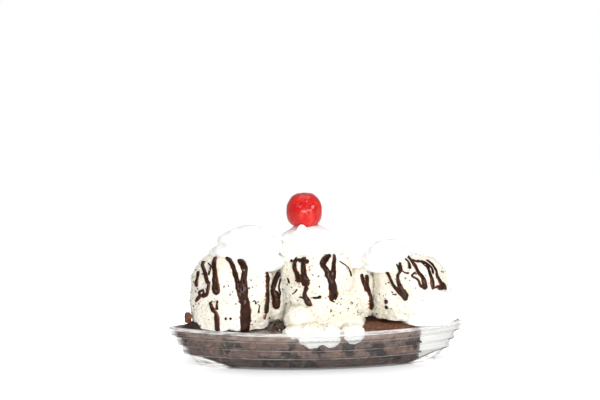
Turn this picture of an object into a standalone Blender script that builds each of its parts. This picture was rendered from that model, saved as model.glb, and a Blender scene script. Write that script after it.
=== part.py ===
"""A brownie sundae in a clear boat dish.

Three brownies lie in fudge sauce in the dish. Speckled ice cream with thick chocolate drips stands on
them, with dollops of whipped cream and a cherry on top. Metres, +Z up, +X along the dish, origin at the
middle of the dish's foot, and the front is at -Y.
"""

import math
from collections import namedtuple

import bmesh
import bpy
from mathutils import Matrix, Vector, noise

MM = 0.001


def mm(x, y, z):
    """A vector in metres from millimetres."""
    return Vector((x, y, z)) * MM


GAP = 0.35 * MM  # clearance between neighbouring solids
SLIVER = 0.003 * MM  # points closer than this are merged after a cut

# The dish
DISH_LENGTH = 210 * MM
DISH_WIDTH = 81 * MM
DISH_HEIGHT = 27.4 * MM
FOOT_LENGTH = 168 * MM
FOOT_WIDTH = 57 * MM
WALL = 1.4 * MM
FOOT_LEAN = 0.385  # share of the wall's outward lean that is below its first ledge
LEDGE = 0.167  # share of it at each ledge
LEDGE_RISE = 0.5 * MM
LEDGE_ROOM = 0.6  # how much higher a ledge is on the wall's inner side, as a share of the wall's thickness
FIRST_LEDGE = 8 * MM
TIER_HEIGHT = 6.1 * MM
LEDGES = [FIRST_LEDGE + TIER_HEIGHT * tier for tier in range(3)]
LIP = 1.2 * MM  # how far the rim's lip stands out from the wall
LIP_HEIGHT = 2.6 * MM
LIP_FOOT = DISH_HEIGHT - LIP_HEIGHT
LIP_ROUND = 0.4 * MM
FOOT_ROUNDNESS = 0.67  # 1 makes the outline an ellipse, and 0 a lens with pointed ends
RIM_ROUNDNESS = 0.14
FLOOR = 2 * MM  # height of the floor's upper side at the middle
FLAT_HALF_LENGTH = 63 * MM  # the floor is level as far as this, then rises towards both ends
FLOOR_RISE = 5.9 * MM
RISE_LENGTH = 20 * MM
RISE_POWER = 1.15
DISH_STATIONS = 32
FLOOR_SHARES = (0.85, 0.5)  # rings of the floor, as shares of its outline
FLOOR_PASSES = 20  # passes that find where the wall meets the rising floor

# The brownies and the sauce
SAUCE_LEVEL = DISH_HEIGHT - 0.2 * MM
BED = DISH_HEIGHT + GAP  # what lies on the sauce, and reaches over the rim, starts here
ROOM_HEIGHT = 3 * DISH_HEIGHT  # the room within the dish's walls, carried on upwards, that contents stay in
BROWNIE_END = 71.5 * MM  # the last brownie's cut face, with whipped cream beyond it
BROWNIE_CUTS = 3
BROWNIE_POWER = 7  # how square a brownie's edges are
CRUMB_LUMP = 0.9 * MM
CRUMB_SIZE = 8 * MM
MOUND_STATIONS = 10
MOUND_RINGS = 5

# The ice cream
SCOOP_STATIONS = 20
SCOOP_RINGS = 9  # above the edge of the flat underside
UNDERSIDE_RINGS = (0.7, 0.35, 0.1)  # from the middle of the underside to its edge, as shares of the way
UPPER_POWER = 2.5  # roundness of a scoop's dome
LOWER_POWER = 3.5
SCOOP_LUMP = 1.2 * MM
LUMP_SIZE = 10 * MM
SMALL_LUMP = 0.5  # height of the smaller lumps, as a share of the larger ones
SMALL_LUMPS = 2.2  # how many times closer together they are
SKIRT = 1.6 * MM  # how far the torn skirt at a scoop's foot stands out
SKIRT_HEIGHT = 7 * MM
SKIRT_EVEN = 0.6  # the skirt's mean share of its full reach
SKIRT_WAVES = 3
LOBE_STATIONS = 10
LOBE_RINGS = 5

# The drips of chocolate
DRIP_HEIGHT = 1.2 * MM
DRIP_SINK = 0.4 * MM
DRIP_SIDES = 4
DRIP_STEP = 9 * MM
FEWEST_DRIP_STEPS = 4
DRIP_NECK = 0.8  # width of a drip's upper part, as a share of its width
DRIP_BULB = 0.45  # how much wider a drip gets towards its end
BULB_START = 0.5
BULB_LENGTH = 0.4
DRIP_BLUNTNESS = 8  # higher makes a drip's ends blunter
MEASURING_STEPS = 8

# The whipped cream
CREAM_STATIONS = 20
CREAM_RINGS = 9
GROOVE = 0.17  # depth of the groove between two turns, as a share of the radius
RIDGE = 0.045  # height of the nozzle's ridges, as a share of the radius
RIDGES = 8
CREAM_FULLNESS = 2.3  # 1 makes a dollop's sides a parabola, and more makes them fuller
RIDGE_TWIST = 0.6
RUFFLE = 0.08  # unevenness of a dollop's outline, as a share of the radius
RUFFLE_SCALE = 1.6
RUFFLE_RISE = 3  # unevenness up a dollop, for its whole height
GROOVE_POWER = 0.7  # lower makes the grooves narrower
FOOT_SHARE = 0.86  # how far a dollop draws in at its foot
FOOT_HEIGHT = 0.2
LAST_RING = 0.985  # share of a dollop's height at its last ring, before the tip

# The cherry
CHERRY_RADIUS = 12.6 * MM
CHERRY_HEIGHT = 25.6 * MM
CHERRY_CENTRE = mm(-9.6, 0, 108.8)
CHERRY_FULLNESS = 3.0  # of its lower half, where 2 makes it an ellipsoid
CHERRY_DIMPLE = 1.8 * MM
DIMPLE_WIDTH = 0.32
CHERRY_STATIONS = 16
CHERRY_RINGS = 9

Scoop = namedtuple("Scoop", "name centre half_axes depth bottom seed")
SCOOP_LEFT = Scoop("scoop_left", mm(-60.8, 0, 53), mm(28.9, 27, 28), 33 * MM, BED, 3)
SCOOP_TOP = Scoop("scoop_centre", mm(-1.3, -3, 62.6), mm(25.6, 25, 20), 23 * MM, 44.3 * MM, 11)
SCOOP_LOW = Scoop("scoop_centre_lower", mm(4, -1, 36), mm(28.2, 27, 23), 26 * MM, BED, 23)
SCOOP_RIGHT = Scoop("scoop_right", mm(65.5, 0, 52.5), mm(27.3, 26.4, 23.6), 30 * MM, 32 * MM, 37)
# Ice cream squeezed out between the scoops
SQUEEZED_LEFT = Scoop("squeezed_left", mm(-30.5, 4, 49), mm(8, 17, 19), 20 * MM, 30 * MM, 51)
SQUEEZED_RIGHT = Scoop("squeezed_right", mm(31, 4, 49.5), mm(10, 16, 17), 18 * MM, 33 * MM, 57)

# A drip's path is a few points on its scoop, as azimuth from the front and elevation, in degrees
Drip = namedtuple("Drip", "path width")
DRIPS_LEFT = [
    Drip([(-15, 56), (-5, 46), (1, 30), (6, 9), (11, -8)], 4.0),
    Drip([(14, 52), (17, 36), (13, 18), (15, -10), (16, -42)], 5.6),
    Drip([(-48, 56), (-35, 35), (-31, 22), (-28, 6)], 4.2),
    Drip([(-70, 44), (-58, 35), (-49, 28), (-44, 19)], 3.2),
    Drip([(-66, 28), (-64, 22), (-65, 12)], 3.0),
    Drip([(-40, 18), (-42, 2), (-50, -2)], 2.8),
    Drip([(-52, 5), (-58, 2), (-56, -3), (-64, -10)], 2.4),
    Drip([(-38, -12), (-34, -21), (-29, -26), (-28, -42)], 3.2),
    Drip([(64, 36), (56, 17), (54, 4), (57, -8), (55, -24)], 4.0),
]
DRIPS_TOP = [
    Drip([(-54, 38), (-47, 19), (-40, 8), (-36, 2)], 4.0),
    Drip([(-34, 36), (-29, 14), (-25, -4)], 4.6),
    Drip([(22, 44), (4, 28), (10, 14), (18, -6), (22, -32)], 5.0),
    Drip([(36, 42), (24, 24), (19, 4)], 3.4),
    Drip([(-24, -12), (-27, -24), (-20, -36)], 3.6),
]
DRIPS_RIGHT = [
    Drip([(-52, 36), (-40, 22), (-34, 8), (-15, -10)], 3.4),
    Drip([(-30, 50), (-28, 24), (-21, 8), (-14, -5)], 3.2),
    Drip([(-16, 68), (0, 56), (6, 32), (13, 7)], 4.0),
    Drip([(12, 56), (27, 42), (28, 22), (29, 5)], 3.6),
    Drip([(40, 52), (42, 40), (40, 24), (52, 4)], 3.2),
]
DRIPS_SQUEEZED_LEFT = [Drip([(15, 58), (1, 46), (-6, 32), (-10, 14), (-2, 2), (-1, -18)], 4.6)]
DRIPS_SQUEEZED_RIGHT = [
    Drip([(-4, 48), (2, 27), (12, 14)], 3.4),
    Drip([(14, 45), (12, 18), (21, -6), (29, -34)], 4.2),
]
BACK_DRIPS = 3  # on each scoop's far side. The angles below are in degrees too
BACK_SPREAD = 140
BACK_TOP = 52
BACK_END = -12
BACK_UNEVEN = 40  # how unevenly long they are
BACK_STRAY = 20
BACK_BEND = 5
BACK_DRIP_WIDTH = 4.4
BACK_DRIP_SWELL = 0.4

Lobe = namedtuple("Lobe", "centre half_axes")
# Ice cream that has run down between the brownies and the wall
LOBES = [
    Lobe(mm(-19, -31.5, 27), mm(9.5, 8, 5)),
    Lobe(mm(-8.5, -33.5, 25), mm(10.5, 9, 8.6)),
    Lobe(mm(4.5, -33.5, 25), mm(7.5, 9, 8.4)),
    Lobe(mm(21, -32.5, 25.5), mm(9, 9, 7)),
]
# The torn lower side of the middle scoop
LUMPS = [
    Lobe(mm(-14, -19, 33), mm(12, 10, 12)),
    Lobe(mm(4, -24, 31), mm(11, 8, 8)),
    Lobe(mm(23, -17, 29), mm(10, 9, 7)),
]
# Sauce heaped between the scoops
MOUNDS = [
    Lobe(mm(-29, -15, 24), mm(7, 10, 9)),
    Lobe(mm(-29, 14, 24), mm(7, 11, 8)),
]
SPLASH = Lobe(mm(-87.4, -9.3, 26.1), mm(10.3, 9, 6.9))  # sauce that has risen over the left scoop's foot

Brownie = namedtuple("Brownie", "name low high turn seed")  # low and high corners before it is turned about Z
BROWNIES = [
    Brownie("brownie_left", mm(-88, -21, 6), mm(-37.5, 22, 23.4), 2.0, 5),
    Brownie("brownie_middle", mm(-33.5, -27, 5.5), mm(18, 28, 23.4), -1.5, 17),
    Brownie("brownie_right", mm(22, -27.5, 6.5), mm(69, 26, 29.8), 1.0, 29),
]
NUGGET = Brownie("brownie_nugget", mm(-94.2, -8.5, 30.8), mm(-89.8, -3, 38.2), 10, 41)

Dollop = namedtuple("Dollop", "name foot tip half_length half_width turns seed")
CREAM_LEFT = Dollop("cream_left", mm(-50, 0, 67), mm(-49, 1, 98.5), 29 * MM, 22 * MM, 2.6, 2)
CREAM_TOP = Dollop("cream_centre", mm(-2, -1, 71), mm(-8, 0, 99), 26 * MM, 22 * MM, 2.8, 6)
CREAM_RIGHT = Dollop("cream_right", mm(49, -1, 65), mm(51, 0, 87), 20 * MM, 18 * MM, 2.4, 9)
CREAM_END = Dollop("cream_end", mm(77, -3, 28.4), mm(81, -3, 58), 26 * MM, 24 * MM, 2.5, 13)
CREAM_LOBE = Dollop("cream_lobe", mm(76, -17, 29), mm(78, -15, 55), 21 * MM, 15 * MM, 2.0, 15)
PLUG_TOP = CREAM_END.foot.z + 1 * MM  # the last dollop fills the end of the dish up to here
FAR = 1.0  # metres, beyond everything, for blocks that cut


def smooth_step(value):
    """0 below 0, 1 above 1, and an even rise between."""
    share = min(max(value, 0.0), 1.0)
    return share * share * (3 - 2 * share)


def new_material(name, colour, roughness, transmission=0.0):
    material = bpy.data.materials.new(name)
    material.use_nodes = True
    shader = material.node_tree.nodes["Principled BSDF"]
    shader.inputs["Base Color"].default_value = (*colour, 1)
    shader.inputs["Roughness"].default_value = roughness
    shader.inputs["Metallic"].default_value = 0
    shader.inputs["Transmission Weight"].default_value = transmission
    material.diffuse_color = (*colour, 1)
    return material


def shape_object(name, shape, material=None):
    """A new object in the scene from a bmesh, in triangles that face outwards and are shaded smooth."""
    bmesh.ops.triangulate(shape, faces=shape.faces, quad_method="FIXED")
    bmesh.ops.recalc_face_normals(shape, faces=shape.faces)
    mesh = bpy.data.meshes.new(name)
    shape.to_mesh(mesh)
    shape.free()
    mesh.shade_smooth()
    mesh.set_sharp_from_angle(angle=math.radians(50))
    if material:
        mesh.materials.append(material)
    obj = bpy.data.objects.new(name, mesh)
    bpy.context.scene.collection.objects.link(obj)
    return obj


def mesh_object(name, points, faces, material=None):
    """A new object from points and faces."""
    shape = bmesh.new()
    vertices = [shape.verts.new(point) for point in points]
    for face in faces:
        shape.faces.new([vertices[corner] for corner in face])
    return shape_object(name, shape, material)


def loft(name, rings, start, end, material=None):
    """A closed solid through rings of equal length, from the single point start to the single point end."""
    count = len(rings[0])
    points = [start] + [point for ring in rings for point in ring] + [end]
    faces = [(0, 1 + (k + 1) % count, 1 + k) for k in range(count)]
    for row in range(len(rings) - 1):
        low, high = 1 + row * count, 1 + (row + 1) * count
        faces += [(low + k, low + (k + 1) % count, high + (k + 1) % count, high + k) for k in range(count)]
    last, last_ring = len(points) - 1, 1 + (len(rings) - 1) * count
    faces += [(last, last_ring + k, last_ring + (k + 1) % count) for k in range(count)]
    return mesh_object(name, points, faces, material)


def bake(obj):
    """Applies the object's modifiers."""
    graph = bpy.context.evaluated_depsgraph_get()
    baked = bpy.data.meshes.new_from_object(obj.evaluated_get(graph))
    before = obj.data
    obj.modifiers.clear()
    obj.data = baked
    bpy.data.meshes.remove(before)


def combine(obj, others, operation):
    """Applies one Boolean of a collection holding the others to obj, and removes the others."""
    helpers = bpy.data.collections.new("helpers")
    bpy.context.scene.collection.children.link(helpers)
    for other in others:
        bpy.context.scene.collection.objects.unlink(other)
        helpers.objects.link(other)
    modifier = obj.modifiers.new("combine", "BOOLEAN")
    modifier.operation = operation
    modifier.operand_type = "COLLECTION"
    modifier.collection = helpers
    modifier.solver = "EXACT"
    bake(obj)
    for other in others:
        bpy.data.objects.remove(other)
    bpy.data.collections.remove(helpers)
    return obj


def cut(obj, *cutters):
    """Takes each cutter away from obj in turn, and drops the scraps that this leaves."""
    for cutter in cutters:
        combine(obj, [cutter], "DIFFERENCE")
    keep_largest(obj)
    return obj


def keep_largest(obj):
    """Removes every body of the object but its largest, and slivers with them."""
    shape = bmesh.new()
    shape.from_mesh(obj.data)
    bmesh.ops.remove_doubles(shape, verts=shape.verts, dist=SLIVER)
    bmesh.ops.dissolve_degenerate(shape, edges=shape.edges, dist=SLIVER)
    left = set(shape.faces)
    bodies = []
    while left:
        body, edge = set(), {left.pop()}
        while edge:
            body |= edge
            sides = {side for face in edge for side in face.edges if len(side.link_faces) == 2}
            edge = {face for side in sides for face in side.link_faces} - body
        left -= body
        bodies.append(body)
    bodies.sort(key=lambda body: sum(face.calc_area() for face in body))
    for body in bodies[:-1]:
        bmesh.ops.delete(shape, geom=list(body), context="FACES")
    shape.to_mesh(obj.data)
    shape.free()


def join(obj, others):
    return combine(obj, others, "UNION")


def outline(angle, half_length, half_width, roundness):
    """A point of the dish's boat-shaped outline, seen from above."""
    across = math.sin(angle)
    return half_length * math.cos(angle), half_width * across * (roundness + (1 - roundness) * abs(across))


def ledges_at(inset):
    return [ledge + inset * LEDGE_ROOM for ledge in LEDGES]


def wall_sizes(height, inset=0.0):
    """Half the wall's length, half its width and its roundness at this height, inset from its outer side."""
    lean = min(height / LIP_FOOT, 1.0)
    low = min(height / FIRST_LEDGE, 1.0)
    high = min(max(height - FIRST_LEDGE, 0.0) / (LIP_FOOT - FIRST_LEDGE), 1.0)
    steps = sum(min(max((height - ledge) / LEDGE_RISE, 0.0), 1.0) for ledge in ledges_at(inset))
    out = FOOT_LEAN * low + LEDGE * steps + (1 - FOOT_LEAN - LEDGE * len(LEDGES)) * high
    half_length = FOOT_LENGTH / 2 + out * ((DISH_LENGTH - FOOT_LENGTH) / 2 - LIP)
    half_width = FOOT_WIDTH / 2 + out * ((DISH_WIDTH - FOOT_WIDTH) / 2 - LIP)
    return half_length - inset, half_width - inset, FOOT_ROUNDNESS + (RIM_ROUNDNESS - FOOT_ROUNDNESS) * lean


def floor_height(x):
    """Height of the floor's upper side, which rises towards both ends."""
    beyond = max(abs(x) - FLAT_HALF_LENGTH, 0.0)
    return FLOOR + FLOOR_RISE * min(beyond / RISE_LENGTH, 1.0) ** RISE_POWER


def dish_angles():
    return [2 * math.pi * k / DISH_STATIONS for k in range(DISH_STATIONS)]


def wall_ring(height, inset):
    sizes = wall_sizes(height, inset)
    return [Vector((*outline(angle, *sizes), height)) for angle in dish_angles()]


def floor_edge(inset, offset):
    """The ring where the wall, inset from its outer side, meets the floor moved up by offset."""
    ring = []
    for angle in dish_angles():
        height = FLOOR + offset
        for _ in range(FLOOR_PASSES):
            x, y = outline(angle, *wall_sizes(height, inset))
            height = floor_height(x) + offset
        ring.append(Vector((x, y, height)))
    return ring


def floor_rings(edge, offset):
    """Rings from the floor's edge in towards its middle."""
    shrunk = [[Vector((p.x * share, p.y * share, 0)) for p in edge] for share in FLOOR_SHARES]
    for ring in shrunk:
        for point in ring:
            point.z = floor_height(point.x) + offset
    return shrunk


def wall_heights(inset=0.0):
    """Heights that the wall's rings need at this inset, from the lowest ledge up."""
    return [height for ledge in ledges_at(inset) for height in (ledge, ledge + LEDGE_RISE)]


def build_dish(material):
    under_edge = floor_edge(WALL, -WALL)
    under = floor_rings(under_edge, -WALL)[::-1] + [under_edge]
    foot = [wall_ring(0, WALL), wall_ring(0, 0)]
    outside = [wall_ring(height, 0) for height in wall_heights() + [LIP_FOOT]]
    shoulder = DISH_HEIGHT - LIP_ROUND
    lip_heights = (LIP_FOOT + LIP_ROUND, shoulder, DISH_HEIGHT, DISH_HEIGHT, shoulder)
    lip_insets = (-LIP, -LIP, LIP_ROUND - LIP, WALL - LIP_ROUND, WALL)
    lip = [wall_ring(height, inset) for height, inset in zip(lip_heights, lip_insets)]
    inside = [wall_ring(height, WALL) for height in [LIP_FOOT, *wall_heights(WALL)[::-1]]]
    edge = floor_edge(WALL, 0)
    rings = under + foot + outside + lip + inside + [edge] + floor_rings(edge, 0)
    return loft("dish", rings, Vector((0, 0, FLOOR - WALL)), Vector((0, 0, FLOOR)), material)


def cavity(name, top, material=None, inset=WALL + GAP):
    """What fills the dish up to the height top, inset this far from the wall's outer side."""
    edge = floor_edge(inset, 2 * GAP)
    heights = [height for height in [*wall_heights(inset), LIP_FOOT] if height < top]
    wall = [wall_ring(height, inset) for height in [top, *heights[::-1]]]
    rings = wall + [edge] + floor_rings(edge, 2 * GAP)
    return loft(name, rings, Vector((0, 0, top)), Vector((0, 0, FLOOR + 2 * GAP)), material)


def block(name, low, high, turn=0.0):
    """A plain box between two corners, turned about its upright middle line, used for cutting."""
    shape = bmesh.new()
    bmesh.ops.create_cube(shape, size=1)
    middle, size = (low + high) / 2, high - low
    turned = Matrix.Rotation(math.radians(turn), 4, "Z") @ Matrix.Diagonal((*size, 1))
    bmesh.ops.transform(shape, matrix=Matrix.Translation(middle) @ turned, verts=shape.verts)
    return shape_object(name, shape)


def brownie_block(brownie):
    """A plain box that a brownie stays clear of."""
    room = Vector((1, 1, 1)) * (CRUMB_LUMP + GAP)
    return block(brownie.name, brownie.low - room, brownie.high + room, brownie.turn)


def brownie_body(brownie, grow=0.0, material=None):
    """A squared piece of brownie with worn edges and a crumbly surface."""
    shape = bmesh.new()
    bmesh.ops.create_cube(shape, size=2)
    bmesh.ops.subdivide_edges(shape, edges=shape.edges, cuts=BROWNIE_CUTS, use_grid_fill=True)
    middle, half = (brownie.low + brownie.high) / 2, (brownie.high - brownie.low) / 2
    turn = Matrix.Rotation(math.radians(brownie.turn), 3, "Z")
    for vertex in shape.verts:
        direction = vertex.co
        reach = sum(abs(part) ** BROWNIE_POWER for part in direction) ** (-1 / BROWNIE_POWER)
        point = Vector(direction[i] * reach * half[i] for i in range(3))
        crumb = CRUMB_LUMP * noise.noise((point + middle) / CRUMB_SIZE + Vector((brownie.seed, 0, 0)))
        outward = Vector(direction[i] * reach for i in range(3)).normalized()
        vertex.co = turn @ (point + outward * (crumb + grow)) + middle
    return shape_object(brownie.name, shape, material)


def ellipsoid(name, lobe, stations, rings, grow=0.0, material=None):
    """A smooth rounded lump."""
    rows = []
    for row in range(1, rings):
        slope = math.pi * (row / rings - 0.5)
        spread, rise = math.cos(slope), math.sin(slope)
        turns = [2 * math.pi * k / stations for k in range(stations)]
        rows.append([
            lobe.centre + Vector((
                (lobe.half_axes.x + grow) * spread * math.cos(turn),
                (lobe.half_axes.y + grow) * spread * math.sin(turn),
                (lobe.half_axes.z + grow) * rise,
            ))
            for turn in turns
        ])
    pole = Vector((0, 0, lobe.half_axes.z + grow))
    return loft(name, rows, lobe.centre - pole, lobe.centre + pole, material)


def scoop_point(scoop, azimuth, elevation, grow=0.0):
    """A point of a scoop's surface. Azimuth is from the front, -Y, towards +X. Angles are in radians."""
    level = math.cos(elevation)
    direction = Vector((math.sin(azimuth) * level, -math.cos(azimuth) * level, math.sin(elevation)))
    across = math.hypot(direction.x / scoop.half_axes.x, direction.y / scoop.half_axes.y)
    power = UPPER_POWER if direction.z > 0 else LOWER_POWER
    height = scoop.half_axes.z if direction.z > 0 else scoop.depth
    reach = (across**power + (abs(direction.z) / height) ** power) ** (-1 / power)
    smooth = scoop.centre + direction * reach
    seed = Vector((scoop.seed, 0, 0))
    lump = noise.noise(smooth / LUMP_SIZE + seed)
    lump += SMALL_LUMP * noise.noise(smooth / LUMP_SIZE * SMALL_LUMPS + seed)
    foot = smooth_step(1 - (smooth.z - scoop.bottom) / SKIRT_HEIGHT)
    frill = SKIRT_EVEN + noise.noise(Vector((math.cos(azimuth), math.sin(azimuth), 0)) * SKIRT_WAVES + seed)
    point = smooth + direction * (SCOOP_LUMP * lump + SKIRT * foot * frill + grow)
    point.z = max(point.z, scoop.bottom - grow)
    return point


def scoop_edge(scoop):
    """Elevation of the edge of the scoop's flat underside."""
    drop = scoop.centre.z - scoop.bottom
    spread = scoop.half_axes.x * (1 - (drop / scoop.depth) ** LOWER_POWER) ** (1 / LOWER_POWER)
    return -math.atan2(drop, spread)


def scoop_body(scoop, grow=0.0, material=None):
    edge = scoop_edge(scoop)
    flat = [edge - (math.pi / 2 + edge) * share for share in UNDERSIDE_RINGS]
    dome = [edge + (math.pi / 2 - edge) * k / SCOOP_RINGS for k in range(SCOOP_RINGS)]
    turns = [2 * math.pi * k / SCOOP_STATIONS for k in range(SCOOP_STATIONS)]
    rings = [[scoop_point(scoop, turn, elevation, grow) for turn in turns] for elevation in flat + dome]
    ends = [scoop_point(scoop, 0, side * math.pi / 2, grow) for side in (-1, 1)]
    return loft(scoop.name, rings, *ends, material)


def back_drips(scoop):
    """Drips of uneven length on the side of a scoop that faces away from the front."""
    drips = []
    for k in range(BACK_DRIPS):
        uneven = noise.noise(Vector((scoop.seed, k, 0)) * math.pi)
        azimuth = 180 + BACK_SPREAD * ((k + 0.5) / BACK_DRIPS - 0.5) + BACK_STRAY * uneven
        lowest = BACK_END + BACK_UNEVEN * noise.noise(Vector((scoop.seed, k, 1)) * math.e)
        bend = BACK_BEND * uneven
        path = [(azimuth, BACK_TOP), (azimuth + bend, (BACK_TOP + lowest) / 2), (azimuth - bend, lowest)]
        drips.append(Drip(path, BACK_DRIP_WIDTH * (1 + BACK_DRIP_SWELL * uneven)))
    return drips


def path_point(path, share):
    """Azimuth and elevation, in radians, this far along a smooth curve through the path's points."""
    along = share * (len(path) - 1)
    k = min(int(along), len(path) - 2)
    t = along - k
    before, first, second, after = [Vector(path[min(max(k + i, 0), len(path) - 1)]) for i in (-1, 0, 1, 2)]
    point = 0.5 * (
        2 * first
        + (second - before) * t
        + (2 * before - 5 * first + 4 * second - after) * t * t
        + (3 * first - before - 3 * second + after) * t**3
    )
    return math.radians(point.x), math.radians(point.y)


def drip_body(scoop, drip):
    """A run of thick chocolate that lies on a scoop and ends in a fat bead."""
    shares = [k / MEASURING_STEPS for k in range(MEASURING_STEPS + 1)]
    corners = [scoop_point(scoop, *path_point(drip.path, share)) for share in shares]
    length = sum((after - before).length for before, after in zip(corners, corners[1:]))
    steps = max(round(length / DRIP_STEP), FEWEST_DRIP_STEPS)
    rings = []
    for step in range(1, steps):
        share = step / steps
        centre = scoop_point(scoop, *path_point(drip.path, share))
        ahead = scoop_point(scoop, *path_point(drip.path, share + 0.5 / steps)) - centre
        normal = (centre - scoop.centre).normalized()
        side = ahead.cross(normal).normalized()
        bead = DRIP_NECK + DRIP_BULB * smooth_step((share - BULB_START) / BULB_LENGTH)
        half_width = drip.width * MM / 2 * bead * math.sqrt(1 - abs(2 * share - 1) ** DRIP_BLUNTNESS)
        ring = []
        for k in range(DRIP_SIDES):
            turn = 2 * math.pi * k / DRIP_SIDES
            lift = (DRIP_HEIGHT + DRIP_SINK) / 2 * math.sin(turn) + (DRIP_HEIGHT - DRIP_SINK) / 2
            ring.append(centre + side * (half_width * math.cos(turn)) + normal * lift)
        rings.append(ring)
    ends = [scoop_point(scoop, *path_point(drip.path, share)) for share in (0, 1)]
    return loft("drip", rings, *ends)


def dollop_point(dollop, turn, share, grow=0.0):
    """A point of a piped dollop. Share runs from 0 at its foot to 1 at its tip."""
    groove = abs(math.sin(math.pi * (dollop.turns * share - turn / (2 * math.pi)))) ** GROOVE_POWER
    ridge = math.cos(RIDGES * (turn + RIDGE_TWIST * 2 * math.pi * share))
    foot = FOOT_SHARE + (1 - FOOT_SHARE) * smooth_step(share / FOOT_HEIGHT)
    profile = math.sqrt(1 - share**CREAM_FULLNESS) * foot
    round_it = Vector((math.cos(turn), math.sin(turn), 0)) * RUFFLE_SCALE
    place = round_it + Vector((dollop.seed, 0, share * RUFFLE_RISE))
    radius = profile * (1 - GROOVE * (1 - groove) + RIDGE * ridge + RUFFLE * noise.noise(place))
    middle = dollop.foot.lerp(dollop.tip, share)
    across = Vector((
        (dollop.half_length * radius + grow) * math.cos(turn),
        (dollop.half_width * radius + grow) * math.sin(turn),
        0,
    ))
    return middle + across


def dollop_body(dollop, grow=0.0, material=None):
    turns = [2 * math.pi * k / CREAM_STATIONS for k in range(CREAM_STATIONS)]
    shares = [LAST_RING * k / (CREAM_RINGS - 1) for k in range(CREAM_RINGS)]
    rings = [[dollop_point(dollop, turn, share, grow) for turn in turns] for share in shares]
    up = Vector((0, 0, grow))
    for point in rings[0]:
        point.z -= grow
    return loft(dollop.name, rings, dollop.foot - up, dollop.tip + up, material)


def cherry_body(grow=0.0, material=None):
    """A cherry with the small hollow that its stem has left."""
    rings = []
    turns = [2 * math.pi * k / CHERRY_STATIONS for k in range(CHERRY_STATIONS)]
    for row in range(1, CHERRY_RINGS + 1):
        slope = math.pi * (row / (CHERRY_RINGS + 1) - 0.5)
        rings.append([cherry_point(turn, slope, grow) for turn in turns])
    ends = [cherry_point(0, side * math.pi / 2, grow) for side in (-1, 1)]
    return loft("cherry", rings, *ends, material)


def cherry_point(turn, slope, grow):
    if slope > 0:
        spread = math.cos(slope)
        dimple = CHERRY_DIMPLE * math.exp(-((spread / DIMPLE_WIDTH) ** 2))
    else:
        spread = (1 - abs(math.sin(slope)) ** CHERRY_FULLNESS) ** (1 / CHERRY_FULLNESS)
        dimple = 0
    reach = CHERRY_RADIUS + grow
    return CHERRY_CENTRE + Vector((
        reach * spread * math.cos(turn),
        reach * spread * math.sin(turn),
        (CHERRY_HEIGHT / 2 + grow) * math.sin(slope) - dimple,
    ))


def build_sauce(material):
    """Fudge sauce round and over the brownies, heaped between the scoops."""
    sauce = cavity("fudge_sauce", SAUCE_LEVEL, material)
    join(sauce, [ellipsoid("mound", lobe, MOUND_STATIONS, MOUND_RINGS) for lobe in MOUNDS])
    cut(sauce, *[scoop_body(scoop, 2 * GAP) for scoop in (SCOOP_LEFT, SCOOP_LOW, SQUEEZED_LEFT)])
    splash = lobes([SPLASH])
    combine(splash[0], [cavity("room", ROOM_HEIGHT, inset=WALL + 2 * GAP)], "INTERSECT")
    join(sauce, splash)
    cut(sauce, block("end", Vector((BROWNIE_END, -FAR, -FAR)), Vector((FAR, FAR, FAR))))
    cut(sauce, *[brownie_block(brownie) for brownie in [*BROWNIES, NUGGET]])
    cut(sauce, *lobes(LOBES + LUMPS, GAP))


def lobes(places, grow=0.0):
    return [ellipsoid("lobe", lobe, LOBE_STATIONS, LOBE_RINGS, grow) for lobe in places]


def build_brownies(material):
    for brownie in BROWNIES:
        piece = brownie_body(brownie, material=material)
        combine(piece, [cavity("room", ROOM_HEIGHT)], "INTERSECT")
        cut(piece, *lobes(LOBES, GAP))
    brownie_body(NUGGET, material=material)


def drip_bodies(scoop, drips, creams):
    """A scoop's drips, cut short where cream covers them."""
    strips = [drip_body(scoop, drip) for drip in drips]
    for strip in strips:
        cut(strip, *[dollop_body(cream, GAP) for cream in creams])
    return strips


def add_squeezed(piece, squeezed, drips, creams):
    """Fuses ice cream that stands between two scoops to one of them, clear of the middle ones."""
    lump = join(scoop_body(squeezed), drip_bodies(squeezed, drips, creams))
    cut(lump, *[scoop_body(scoop, 2 * GAP) for scoop in (SCOOP_TOP, SCOOP_LOW)])
    cut(lump, *[dollop_body(cream, GAP) for cream in creams])
    join(piece, [lump])


def build_ice_cream(material):
    left = scoop_body(SCOOP_LEFT, material=material)
    join(left, drip_bodies(SCOOP_LEFT, DRIPS_LEFT + back_drips(SCOOP_LEFT), [CREAM_LEFT]))
    add_squeezed(left, SQUEEZED_LEFT, DRIPS_SQUEEZED_LEFT, [CREAM_LEFT, CREAM_TOP])
    cut(left, *lobes([SPLASH], GAP))
    top = scoop_body(SCOOP_TOP, material=material)
    join(top, drip_bodies(SCOOP_TOP, DRIPS_TOP + back_drips(SCOOP_TOP), [CREAM_TOP, CREAM_LEFT]))
    right = scoop_body(SCOOP_RIGHT, material=material)
    creams = [CREAM_RIGHT, CREAM_END, CREAM_LOBE]
    join(right, drip_bodies(SCOOP_RIGHT, DRIPS_RIGHT + back_drips(SCOOP_RIGHT), creams))
    add_squeezed(right, SQUEEZED_RIGHT, DRIPS_SQUEEZED_RIGHT, [CREAM_RIGHT])
    low = scoop_body(SCOOP_LOW, material=material)
    join(low, lobes(LUMPS))
    cut(low, block("bed", Vector((-FAR, -FAR, -FAR)), Vector((FAR, FAR, BED))))
    join(low, lobes(LOBES))
    combine(low, [cavity("room", ROOM_HEIGHT)], "INTERSECT")
    cut(low, scoop_body(SCOOP_TOP, 2 * GAP), brownie_block(BROWNIES[-1]))


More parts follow.
